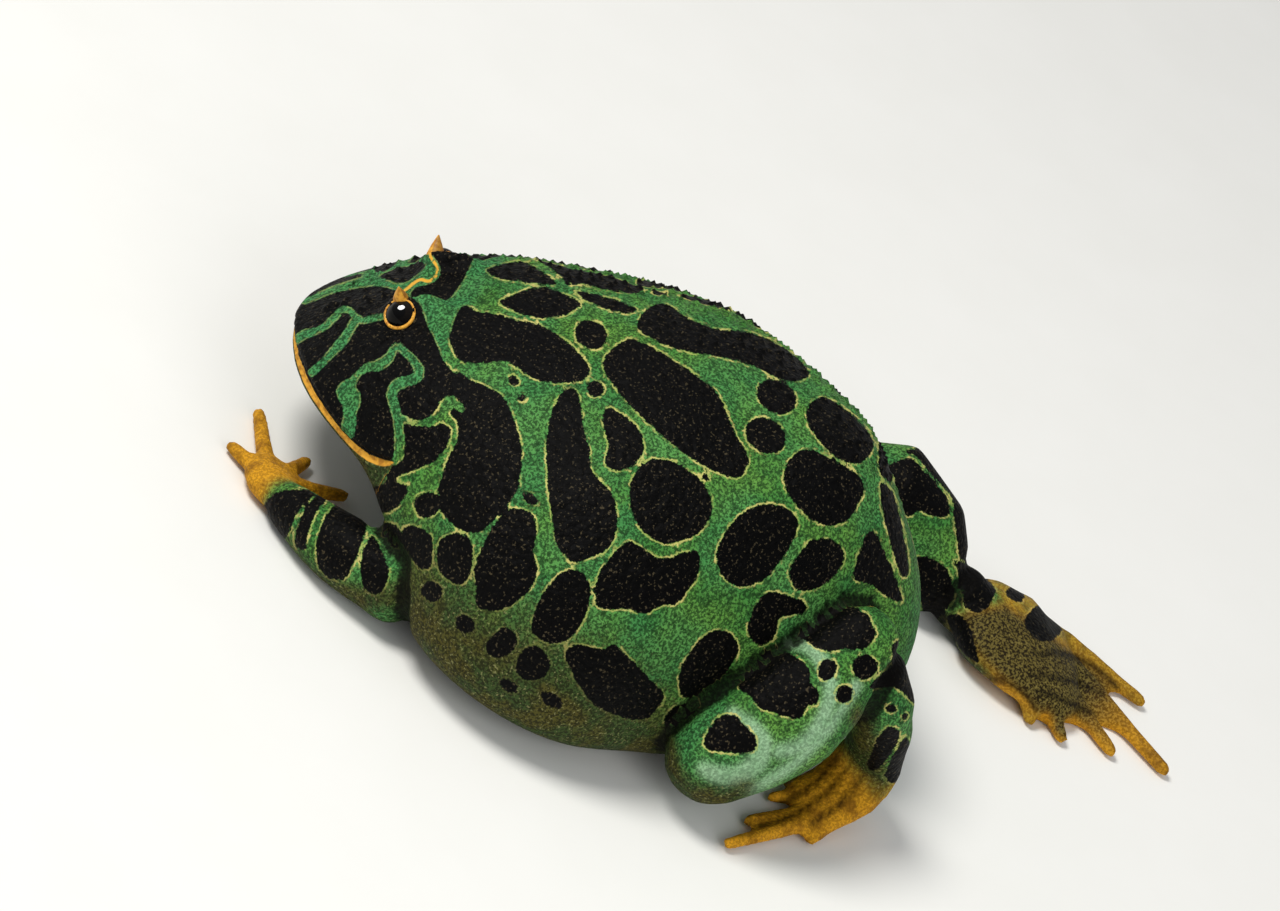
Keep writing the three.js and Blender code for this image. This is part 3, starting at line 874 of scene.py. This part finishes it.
RIDGE_GOLD = [
    [(15, 29.4, 0.5), (15.4, 30.6, 0.5), (15.9, 32, 0.5), (16.6, 32.9, 0.5), (17.5, 33.1, 0.5),
     (18.2, 33.9, 0.5), (18.3, 35.3, 0.5), (17.3, 36.4, 0.5), (15.9, 37, 0.5), (14.8, 38.1, 0.5),
     (14.3, 39.4, 0.5), (14.5, 40.5, 0.5), (14.3, 41.8, 0.5)],
]
print(len(HEAD_GREEN), "green bands on each side of the head")

# %% Markings of arms and legs
NEAR_ARM = [
    [(14.2, -15.5), (14.5, -12.7), (16.8, -10.3), (20.2, -8.9), (19.7, -13.6), (20.4, -17.9),
     (18.3, -18.6), (15.4, -17.4)],
    [(21.1, -8.7), (22.8, -8.4), (22.5, -12.2), (23.5, -16), (24.4, -17.9), (22.5, -18.4),
     (21.1, -15.5), (20.6, -11.7)],
    [(24.9, -7.9), (28.2, -7.7), (31, -8.4), (32, -11.3), (32.9, -16), (32.9, -18.8),
     (30.6, -20), (28.2, -19.5), (26.3, -17.4), (24.9, -14.6), (24.4, -11.3)],
    [(32.9, -9.8), (35.3, -10.8), (38.6, -13.2), (39.5, -16), (39.1, -18.1), (36.7, -18.4),
     (34.8, -16.5), (33.2, -13.2)],
]
NEAR_LEG = [
    [(104.2, 15.4), (104.8, 19.9), (105.6, 24.5), (107, 26.1), (109.3, 24.5), (113.3, 24.5),
     (115.5, 23.6), (116.9, 22.2), (116.7, 19.4), (115, 18.2), (113.3, 17.1), (111.9, 15.7),
     (109.9, 14.9), (107.6, 14.9)],
    [(101.4, 1.9), (101.1, 6.4), (102, 10.9), (104.8, 11.5), (109.9, 11.2), (111.6, 9.2),
     (113.8, 8.6), (114.7, 6.4), (113.3, 5.3), (113.6, 3), (111.6, 1.9), (109.3, 1.3),
     (106.5, 0.7), (103.7, 1.6)],
    oval(113, 12.6, 1.6, 2),
    oval(118.3, 16.5, 2.2, 2.3),
    oval(117.8, 10.6, 1.5, 1.6),
    [(101.1, -8.9), (101.1, -4.9), (103.1, -2.9), (105.9, -3.2), (108.8, -4.3), (109.6, -6),
     (108.2, -7.7), (105.9, -8.9), (102.5, -10.3)],
    [(120.3, 22.2), (121.5, 24.2), (124, 23.9), (125.7, 22.2), (127.4, 19.9), (129.1, 17.7),
     (129.6, 15.7), (126.8, 16), (124.6, 16.3), (122.3, 14.6), (120.6, 13.7), (121.2, 16.5),
     (122, 19.4)],
    oval(126, 12.7, 0.9, 0.8),
    oval(128.8, 12.8, 0.6, 0.6),
    [(126.8, 7.5), (127.4, 9.8), (129.1, 10.2), (130.2, 8.1), (129.9, 3), (128.5, 1.6),
     (127.4, 3)],
    [(130.8, 10), (132.8, 8), (134, 5), (133.5, 2), (131.5, 2), (130.8, 5)],
]
FAR_LEG = [
    [(103.2, 46.5), (103.5, 49.5), (106, 51.8), (109, 51), (113, 50), (115.5, 48.6),
     (116.7, 46.8), (114.5, 45.2), (111.8, 44.6), (110.5, 42.6), (107.5, 43.5)],
    [(104, 51.8), (107, 54.6), (112, 53.8), (117, 50.8), (121.4, 46), (124.8, 42.2), (122.6, 41.4),
     (120.4, 43.6), (117.4, 47.2), (115.2, 49.8), (110, 51.3), (106.5, 52.5)],
    [(115.5, 36.9), (117.8, 38.8), (121.2, 38.6), (124, 36.6), (125.1, 34.6), (124.8, 31.2),
     (124, 29.8), (122.3, 29.8), (120.6, 31.2), (118.3, 34)],
    [(121.5, 40.5), (125, 41.2), (128, 41), (130.5, 40), (131, 37.5), (130, 35), (127, 34.8),
     (126, 37.5), (125, 36.5), (123.5, 39)],
    [(132.4, 40.2), (132.6, 42), (135.2, 42.2), (135.2, 40.4)],
    [(137.5, 39.5), (138.5, 41.9), (141, 42.2), (143.8, 41.5), (144, 38.6), (142.5, 36.8),
     (140.2, 36.6), (138, 37.6)],
    [(149, 40.3), (151, 40.9), (153, 40.2), (151, 39.5)],
    [(125.7, 31.8), (128, 32.9), (130.2, 32.1), (132.5, 30.1), (134.7, 27.6), (131.3, 27.8),
     (128.5, 29.2)],
]

# Strokes, each with its width at every corner
# Painted highlights: pale bands along the near shank and round its blotches
LEG_PAINTED_HIGHLIGHT = [
    [(104, 12.8, 0.8), (108, 14.2, 1), (112.5, 12.8, 1), (115.8, 9, 1.2), (117, 4, 1.5),
     (116.2, -1, 1.5), (113.5, -4, 1.2)],
    [(103, -2.6, 0.6), (107, -2.8, 1), (110.4, -4.4, 1.8), (111, -8.4, 2.4), (108.6, -12.4, 2.4),
     (104, -13.6, 1.2)],
    [(118.8, 13, 0.5), (118.6, 4, 0.6), (116.6, -5, 0.6), (112.4, -13, 0.7)],
]
# The lower edges of the limbs, which take the underside's olive, darkened as painted shade
LIMB_UNDERSIDE_AND_SHADE = [
    [(19, -21, 2), (26, -21.6, 2.4), (33, -21.4, 2.8), (38.5, -19.4, 2.6), (42, -16, 2),
     (43.5, -13, 1)],
    [(96, -14, 3), (99, -18, 4), (104, -19, 4), (109, -16.5, 3), (112, -12.5, 1.4)],
    [(121.5, 8.8, 1), (124.5, 7, 3), (125.5, 4, 4), (131.5, 0.5, 2)],
    [(126, 31, 1.4), (131, 27.5, 2), (136, 26, 2)],
]
KNEE_GOLD = [
    [(110, 24.2, 0.2), (111.6, 25.3, 0.35), (114.7, 26.7, 0.4), (117.5, 27, 0.4),
     (120.3, 26.5, 0.4), (122.4, 25.6, 0.5), (124.6, 23.4, 0.4), (125, 22, 0.3)],
]
# A painted shadow along the fold above the near knee
KNEE_SHADOW_LINE = [
    [(103.5, 15, 0.3), (104.6, 19.5, 0.5), (106.8, 23, 0.7), (109.5, 26, 0.8), (112.5, 27.9, 0.8),
     (116, 28.6, 0.8), (119.5, 28, 0.8), (122.5, 26.6, 0.6)],
]
FAR_FOOT_EDGE = [
    [(129.5, 41, 1.6), (134, 40.6, 2.6), (141, 40.4, 2.8), (149, 39.6, 2.4), (156, 38.6, 1.8),
     (162, 37.2, 1.6)],
    [(125.5, 30.6, 0.6), (131, 27, 1.4), (138, 25, 1.4), (148, 24, 1.6)],
]
# Painted shadows in the gaps between the toes, and below the far foot's first toe
TOE_SHADOW_LINES = [
    [(120.8, 3, 0.2), (119.2, -2.5, 0.4), (116.8, -8.8, 0.4)],
    [(122.6, 0.5, 0.2), (121.7, -5, 0.4), (119, -10.8, 0.4), (116, -14.6, 0.3)],
    [(125, 0, 0.2), (124.3, -6, 0.4), (121.4, -12.2, 0.5), (117.5, -16.8, 0.3)],
    [(128, 0, 0.2), (127.4, -6, 0.5), (125, -11.6, 0.5)],
    [(142.4, 34.2, 0.2), (146.4, 36.7, 0.5), (151.8, 37.8, 0.5), (157.5, 36.9, 0.5)],
    [(144, 31, 0.2), (150, 33.4, 0.3), (156, 34.6, 0.3)],
    [(146, 29, 0.2), (151, 30, 0.3), (156, 30.6, 0.4)],
    [(138, 26.2, 0.3), (140, 27.2, 0.3), (144, 27.4, 0.3), (147.4, 26.2, 0.3)],
]
print(len(NEAR_ARM), len(NEAR_LEG), len(FAR_LEG), "blotches on arm and legs")

# %% Joining two sets of marks, and sowing blotches
CHANNEL = 1.3


def joined(field, other):
    """Both sets of blotches, a green channel kept round those of the first."""
    return np.minimum(field, np.maximum(other, CHANNEL - field))


def with_sown_blotches(field, region, spacing, small, large, seed):
    """Rounded blotches at random places of the region, where the field leaves them room."""
    room = np.nonzero(region & (field > small))[0]
    chosen = room[sown(points[room], spacing * MM, seed)]
    sizes = np.random.default_rng(seed).uniform(small, large, len(chosen))
    fresh = blank()
    for i, size in zip(chosen, sizes):
        for place, j, away in skin_tree.find_range(points[i], (size + 2) * MM):
            edge = size * (1 + 0.3 * noise.noise(place / (3 * MM)))
            fresh[j] = min(fresh[j], away / MM - edge)
    print(len(chosen), "blotches sown")
    return joined(field, np.where(region, fresh, FAR))


# %% The mark of every point
PAST_THE_OUTLINE = -0.4
KNEE_INSIDE = 30
SNOUT_TOP = 9.5

directions = relaxed(normals(skin), pairs, 12)
directions /= np.linalg.norm(directions, axis=1)[:, None]
near_place = picture_place(points)
far_place = picture_place(points, mirrored=True)
near_facing = facing(points, directions)
far_facing = facing(points, directions, mirrored=True)
behind, out, up = frog_place(points).T
on_left = out > 0
torso_and_head = trunk > 0.5
jaw = belongs("lower_jaw") > 0.5
before_shoulders = torso_and_head & ~jaw & (behind < 40)
left_leg = belongs("thigh_left", "shank_left", "tarsus_left", "foot_left") > 0.5
right_leg = belongs("thigh_right", "shank_right", "tarsus_right", "foot_right") > 0.5
left_arm = belongs("upper_arm_left", "forearm_left") > 0.5
right_arm = belongs("upper_arm_right", "forearm_right") > 0.5
near_seen = near_facing > PAST_THE_OUTLINE

mark = blank()
blotch_field(mark, near_place, near_seen & torso_and_head, BACK + FLANK + RUMP)
blotch_field(mark, near_place, on_left & before_shoulders, HEAD_BLACK)
blotch_field(mark, far_place, ~on_left & before_shoulders, HEAD_BLACK)
far_mark = blank()
blotch_field(far_mark, far_place, (far_facing > 0) & ~on_left & torso_and_head, FLANK + RUMP)
mark = joined(mark, far_mark)
top = torso_and_head & (behind < 30) & (mouth_distance(points) > 0.8) & near_seen
blotch_field(mark, near_place, top & (up > 30), FLAP_BLACK)
green = blank()
stroke_field(green, near_place, on_left & torso_and_head, HEAD_GREEN)
stroke_field(green, far_place, ~on_left & torso_and_head, HEAD_GREEN)
stroke_field(green, near_place, top & (up > 18) & (np.abs(out) < SNOUT_TOP), SNOUT_GREEN)
mark = np.where(green < FAR, np.maximum(mark, -green), mark)
gold = blank()
stroke_field(gold, near_place, top & (up > 33), RIDGE_GOLD)
knee = left_leg | torso_and_head & (out > KNEE_INSIDE)
stroke_field(gold, near_place, knee & (near_facing > 0), KNEE_GOLD)

for region, outlines in ((left_arm, NEAR_ARM), (left_leg, NEAR_LEG), (right_leg, FAR_LEG)):
    limb = blank()
    blotch_field(limb, near_place, near_seen & region, outlines)
    mark = np.where(region, limb, mark)
unseen = near_facing < -0.1
above_ground = up > 5
mark = with_sown_blotches(mark, right_arm & above_ground, 7, 1.8, 3, 11)
mark = with_sown_blotches(mark, (right_leg | left_leg) & above_ground & unseen, 7.5, 2, 3.6, 12)
mark = with_sown_blotches(mark, torso_and_head & unseen & (behind > 36) & (up > 22), 8, 2, 3.6, 13)
print("black points:", int((mark < 0).sum()), "of", len(mark))

# %% Where the colours change: digits, soles, the underside with its painted shade, and painted light
TOES = ("first", "second", "third", "fourth", "fifth")
LIP_NARROWING = 1.3
LIP_END = 0.3

digits = belongs("finger", "toe")
soles = belongs("foot", "hand")
# The underside, partly the frog's own olive and partly painted shade, darker towards the bottom
low = np.where(on_left, near_place[:, 1], far_place[:, 1])
belly_and_shade = trunk * (1 - smooth(low, -16, 3))
belly_and_shade = np.maximum(belly_and_shade, belongs("lower_jaw"))
belly_and_shade = np.maximum(belly_and_shade, 0.7 * (1 - trunk) * (1 - smooth(up, 2, 7)))


def shaded(strokes, region, softness):
    """1 on the strokes, fading to 0 over the softness in millimetres."""
    field = blank()
    stroke_field(field, near_place, region & (near_facing > -0.1), strokes)
    return 1 - smooth(field, -0.3, softness)


limb_underside_and_shade = shaded(LIMB_UNDERSIDE_AND_SHADE, left_arm | left_leg | right_leg, 2.2)
# Painted highlight on the near shank
painted_highlight = shaded(LEG_PAINTED_HIGHLIGHT, left_leg, 1.8)
far_foot = belongs("foot_right", *("toe_" + name + "_right" for name in TOES))
far_edge = shaded(FAR_FOOT_EDGE, far_foot > 0.5, 1.2)
# Painted shadows between the toes and above the knee
painted_shadow_lines = shaded(TOE_SHADOW_LINES, np.maximum(digits, soles) > 0.5, 0.8)
painted_shadow_lines = np.maximum(painted_shadow_lines, shaded(KNEE_SHADOW_LINE, knee, 1.2))
belly_and_shade = relaxed(np.maximum(belly_and_shade, limb_underside_and_shade), pairs, 4)
orange = np.maximum(digits, soles) * (1 - limb_underside_and_shade * (1 - digits)) * (1 - 0.45 * far_edge)
orange = relaxed(orange, pairs, 6)
umber = far_foot * (1 - 0.7 * smooth(near_place[:, 0], 152, 166)) * (1 - far_edge)
umber = relaxed(umber * np.clip((directions[:, 2] + 0.1) / 0.5, 0, 1), pairs, 4)
head_share = relaxed(belongs("head", "lower_jaw", "eye"), pairs, 8)
# Painted shade in the folds where two parts meet
painted_fold_shade = nearness(points, fold_places(skin, part_of), 0.8 * MM)
closing = closing_at(behind)
lip_distance = mouth_distance(points) / np.maximum(closing, LIP_END)
lip_distance *= LIP_NARROWING / (0.6 + 0.4 * smooth(behind, 2, 14))
lip_distance = np.where(closing > LIP_END, np.clip(lip_distance, -FAR, FAR), FAR)


def keep_values(piece, name, values):
    attribute = piece.data.attributes.new(name, "FLOAT", "POINT")
    attribute.data.foreach_set("value", np.asarray(values, np.float32))


# Some kept values are painted light: the shank's highlight, and the shade of folds, lines,
# underside
for name, values in (("blotch", mark), ("belly_and_shade", belly_and_shade), ("orange", orange), ("umber", umber),
                     ("head", head_share), ("fold_shade", painted_fold_shade), ("lip", lip_distance),
                     ("gold", gold), ("pit", nostril_distance(points)), ("painted_highlight", painted_highlight),
                     ("line", painted_shadow_lines)):
    keep_values(skin, name, values)
print("orange points", int((orange > 0.5).sum()), "belly points", int((belly_and_shade > 0.5).sum()))

# %% [markdown]
# ## The skin's finish
# Fine granular skin, nearly without shine. The sign of `blotch` tells black from green, and its
# size gives the thin pale rim. A little noise on that distance frays the edges. Over the green lie
# darker pin-pricks, over the black faint brown flecks. Painted highlights pale the green along the
# near shank. Olive, orange and umber take the green's place on the belly, the digits and the far
# foot, and the belly's olive is darkened as painted shade. The lips and the line between the horns
# are gold. Painted shade darkens the mouth's line, the folds, the nostrils, the lines between the
# toes and the fold above the knee.

# %% Skin finish
hide = Finish("frog_skin")
on_head = hide.mark("head")
ragged = (hide.grain(700, 2) - 0.5) * 0.8 + (hide.grain(2200, 2) - 0.5) * 0.7
distance = hide.mark("blotch") + ragged * (1 - 0.45 * on_head)
black = 1 - distance.step(-0.12, 0.12)
rim_width = 0.32 - 0.12 * on_head
broken = hide.grain(300, 2).step(0.42, 0.54)
rim = distance.step(-0.05, 0.12) * (1 - ((distance - rim_width) * 4).step(-0.6, 0.6)) * broken
stipple = hide.grain(2100, 2, 0.6).step(0.43, 0.55)
coarse = hide.grain(900, 3, 0.6).step(0.5, 0.62)
light = hide.grain(1900, 2, 0.5).step(0.6, 0.7)
patchy = hide.grain(110, 3).step(0.35, 0.65)
greens = hide.mix(patchy, srgb("42803a"), srgb("659a42"))
greens = hide.mix(hide.grain(60, 2).step(0.4, 0.6) * 0.4, greens, srgb("45935a"))
greens = hide.mix(on_head * 0.6, greens, srgb("45945c"))
# Painted highlight: the green turns pale along the near shank's bands, with fewer pin-pricks there
highlight_greens = hide.mix(hide.grain(400, 2), srgb("a9cda4"), srgb("7fae7c"))
greens = hide.mix(hide.mark("painted_highlight"), greens, highlight_greens)
greens = hide.mix(stipple * (0.76 - 0.4 * hide.mark("painted_highlight")), greens, srgb("142e15"))
greens = hide.mix(coarse * (0.5 - 0.3 * hide.mark("painted_highlight")), greens, srgb("10240f"))
rims = hide.mix(hide.grain(500, 2).step(0.4, 0.6), srgb("d6ca78"), srgb("a3b25c"))
greens = hide.mix(rim * (0.85 - 0.5 * on_head), greens, rims)
blacks = hide.mix(light * 0.8, srgb("020202"), srgb("4a4230"))
# The underside's olive, darkened as painted shade of the lower body
belly_olives_and_shade = hide.mix(hide.grain(150, 2).step(0.4, 0.6), srgb("50481f"), srgb("3a4824"))
belly_olives_and_shade = hide.mix(stipple * 0.8, belly_olives_and_shade, srgb("1d1c0c"))
belly_olives_and_shade = hide.mix(light * 0.5, belly_olives_and_shade, srgb("a3a069"))
ground = hide.mix(hide.mark("belly_and_shade") * 0.95, greens, belly_olives_and_shade)
oranges = hide.mix(hide.grain(300, 3).step(0.45, 0.7), srgb("d99c24"), srgb("a06e1b"))
oranges = hide.mix(stipple * 0.45, oranges, srgb("6d4a10"))
ground = hide.mix(hide.mark("orange"), ground, oranges)
umbers = hide.mix(stipple, srgb("665a2c"), srgb("241d0d"))
umbers = hide.mix(light * 0.4, umbers, srgb("a09050"))
ground = hide.mix(hide.mark("umber"), ground, umbers)
colour = hide.mix(black, ground, blacks)
lip = hide.mark("lip")
lip_gold = (lip + 0.95).step(-0.15, 0.15) * (1 - (lip + 0.12).step(-0.08, 0.08))
lip_golds = hide.mix(hide.grain(700, 2).step(0.4, 0.65), srgb("dba13a"), srgb("a8742a"))
colour = hide.mix(lip_gold, colour, lip_golds)
gold = 1 - (hide.mark("gold") + 0.25 * (hide.grain(1800, 2) - 0.5)).step(-0.08, 0.1)
colour = hide.mix(gold, colour, srgb("e5ad3c"))
# Painted shade, near black: the mouth's line, the folds, the toe and knee lines, the nostrils
painted_shade = (1 - abs(lip).step(0.08, 0.22)) * 0.9
painted_shade = painted_shade + (1 - painted_shade) * hide.mark("fold_shade").step(0.1, 0.9) * 0.9
painted_shade = painted_shade + (1 - painted_shade) * hide.mark("line") * 0.85
painted_shade = painted_shade + (1 - painted_shade) * (1 - hide.mark("pit").step(0.3, 0.7))
colour = hide.mix(painted_shade, colour, srgb("050403"))
hide.shine(Base_Color=colour, Roughness=0.5 + 0.25 * hide.grain(900, 2),
           Specular_IOR_Level=0.08)
cells = hide.node("TexVoronoi", {"Vector": hide.place(), "Scale": 900}, out="Distance")
hide.bump(cells * -1.0 + 0.6 * hide.grain(1800, 3), 0.3 * MM, 0.7)
skin.data.materials.clear()
skin.data.materials.append(hide.material)
select_only(skin)
bpy.ops.object.shade_smooth()
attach(skin, "root")
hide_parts(*FLESH)
print("skin finish nodes", len(hide.tree.nodes))

# %% [markdown]
# ## Eyes, rims and horns
# Each eyeball bulges a little at the cornea and is nearly black, with a wet gloss. A lamp that
# only the eyeballs see puts one round light on each. A thin gold rim lies round the eyeball, and a
# small horn, yellow in front and browner behind, stands on the lid above it.

# %% Eyeballs


def round_vectors(aim):
    """Two vectors square to the aim and to each other; the second points up as far as it can."""
    across = aim.cross(Vector((0, 0, 1))).normalized()
    return across, across.cross(aim).normalized()


def along_vectors(shares, *vectors):
    """Each row of shares as a sum of so much of each vector."""
    return sum(shares[:, i:i + 1] * np.array(vector) for i, vector in enumerate(vectors))


def finished(piece, material):
    """Outward faces, soft shading, the piece's own finish."""
    select_only(piece)
    bpy.ops.object.mode_set(mode="EDIT")
    bpy.ops.mesh.select_all(action="SELECT")
    bpy.ops.mesh.normals_make_consistent(inside=False)
    bpy.ops.object.mode_set(mode="OBJECT")
    bpy.ops.object.shade_smooth()
    piece.data.materials.clear()
    piece.data.materials.append(material)


eye_finish = Finish("eye_wet")
off_aim = eye_finish.mark("off_aim")
iris = off_aim.step(24, 27) * (1 - off_aim.step(47, 50))
browns = eye_finish.mix(eye_finish.grain(2500, 2), srgb("010101"), srgb("040302"))
eye_colour = eye_finish.mix(iris, srgb("010101"), browns)
eye_finish.shine(Base_Color=eye_colour, Roughness=0.06, Specular_IOR_Level=0.1)

CATCH_WAY = Vector((-0.085, -0.53, 0.84))
CATCH_SIZE, CATCH_WATTS = 0.75, 170
left_eye = eye_centre(1)
catch = lamp("catch", left_eye + CATCH_WAY.normalized(), left_eye, CATCH_SIZE, CATCH_WATTS,
             (1, 1, 1))
catch.data.use_shadow = False
eyes_only = bpy.data.collections.new("eyes_only")
catch.light_linking.receiver_collection = eyes_only

for side_name, side in SIDES.items():
    deselect_all()
    bpy.ops.mesh.primitive_uv_sphere_add(segments=48, ring_count=32)
    eyeball = bpy.context.object
    eyeball.name = "eyeball_" + side_name
    unit = positions(eyeball)
    angle = np.degrees(np.arccos(np.clip(unit[:, 2], -1, 1)))
    radius = EYE_RADIUS * (1 + 0.06 * (1 - smooth(angle, 0, 45)))
    aim = eye_aim(side)
    ways = along_vectors(unit, *round_vectors(aim), aim)
    move_to(eyeball, np.array(eye_centre(side)) + radius[:, None] * ways)
    keep_values(eyeball, "off_aim", angle)
    finished(eyeball, eye_finish.material)
    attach(eyeball, "root")
    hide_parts("eye_" + side_name)
    eyes_only.objects.link(eyeball)
print("eyeballs", len(eyeball.data.polygons), "faces each")

# %% Rims and horns
RIM_RADIUS = 2.66 * MM
RIM_WIDTH = 0.26 * MM
RIM_LIFT = 0.05 * MM
TORUS_TUBE = 0.25
# Places along the horn from its foot to its tip, (behind, out, up) in mm, each with its radius
HORN = [((16.8, 9.2, 37.2), 1.9), ((16.1, 9.7, 38.5), 1.75), ((15.4, 10.4, 39.8), 1.05),
        ((14.7, 11.2, 41.3), 0.12)]
HORN_FLATNESS = 0.85

lid_finish = Finish("lid_gold")
golds = lid_finish.mix(lid_finish.grain(900, 2).step(0.4, 0.65), srgb("e8a93a"), srgb("b97a26"))
behind_horn = (lid_finish.mark("rear") + (lid_finish.grain(1500, 2) - 0.5) * 0.6).step(0.35, 0.55)
lid_colour = lid_finish.mix(behind_horn * 0.5, golds, srgb("4a3010"))
lid_finish.shine(Base_Color=lid_colour, Roughness=0.42 + 0.15 * lid_finish.grain(1200, 2),
                 Specular_IOR_Level=0.35)
lid_finish.bump(lid_finish.grain(2200, 2), 0.12 * MM, 0.5)


def eye_rim(side):
    """A thin ring lying on the eyeball, thicker at the back and below."""
    deselect_all()
    bpy.ops.mesh.primitive_torus_add(major_segments=72, minor_segments=14, major_radius=1,
                                     minor_radius=TORUS_TUBE)
    rim = bpy.context.object
    unit = positions(rim)
    turn = np.arctan2(unit[:, 1], unit[:, 0])
    spread = np.hypot(unit[:, 0], unit[:, 1]) - 1
    across, rising = round_vectors(eye_aim(side))
    rearward = np.sign(across.y)
    thick = RIM_WIDTH * (1.05 + 0.25 * np.cos(turn) * rearward - 0.15 * np.sin(turn))
    rest = math.sqrt(EYE_RADIUS ** 2 - RIM_RADIUS ** 2)
    reach = RIM_RADIUS + spread / TORUS_TUBE * thick
    shares = np.stack([np.cos(turn) * reach, np.sin(turn) * reach,
                       rest + unit[:, 2] / TORUS_TUBE * thick + RIM_LIFT], 1)
    move_to(rim, np.array(eye_centre(side)) + along_vectors(shares, across, rising, eye_aim(side)))
    keep_values(rim, "rear", np.zeros(len(unit)))
    return rim


def horn(side):
    """A small pointed horn along HORN, a little flattened from front to back."""
    deselect_all()
    bpy.ops.mesh.primitive_uv_sphere_add(segments=28, ring_count=30)
    made = bpy.context.object
    unit = positions(made)
    share = np.clip((1 - unit[:, 2]) / 2, 0, 1) * (len(HORN) - 1)
    stations = np.arange(len(HORN))
    centres = np.array([at(behind, side * out, up) for (behind, out, up), _ in HORN])
    centre = np.stack([np.interp(share, stations, centres[:, axis]) for axis in range(3)], 1)
    width = np.interp(share, stations, [w for _, w in HORN]) * MM
    width *= np.sqrt(1 - (1 - np.clip(share / 0.6, 0, 1)) ** 2)
    lean = Vector(centres[-1] - centres[0]).normalized()
    across, rising = round_vectors(lean)
    turn = np.arctan2(unit[:, 1], unit[:, 0])
    shares = np.stack([np.cos(turn) * width, np.sin(turn) * width * HORN_FLATNESS], 1)
    move_to(made, centre + along_vectors(shares, across, rising))
    keep_values(made, "rear", np.sin(turn) * np.sign(rising.y))
    return made


for side_name, side in SIDES.items():
    rim, spike = eye_rim(side), horn(side)
    select_only(rim, spike)
    bpy.ops.object.join()
    rim.name = "eyelid_" + side_name
    finished(rim, lid_finish.material)
    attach(rim, "root")
    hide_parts("eyelid_horn_" + side_name)
print("rims and horns", len(rim.data.polygons), "faces each")
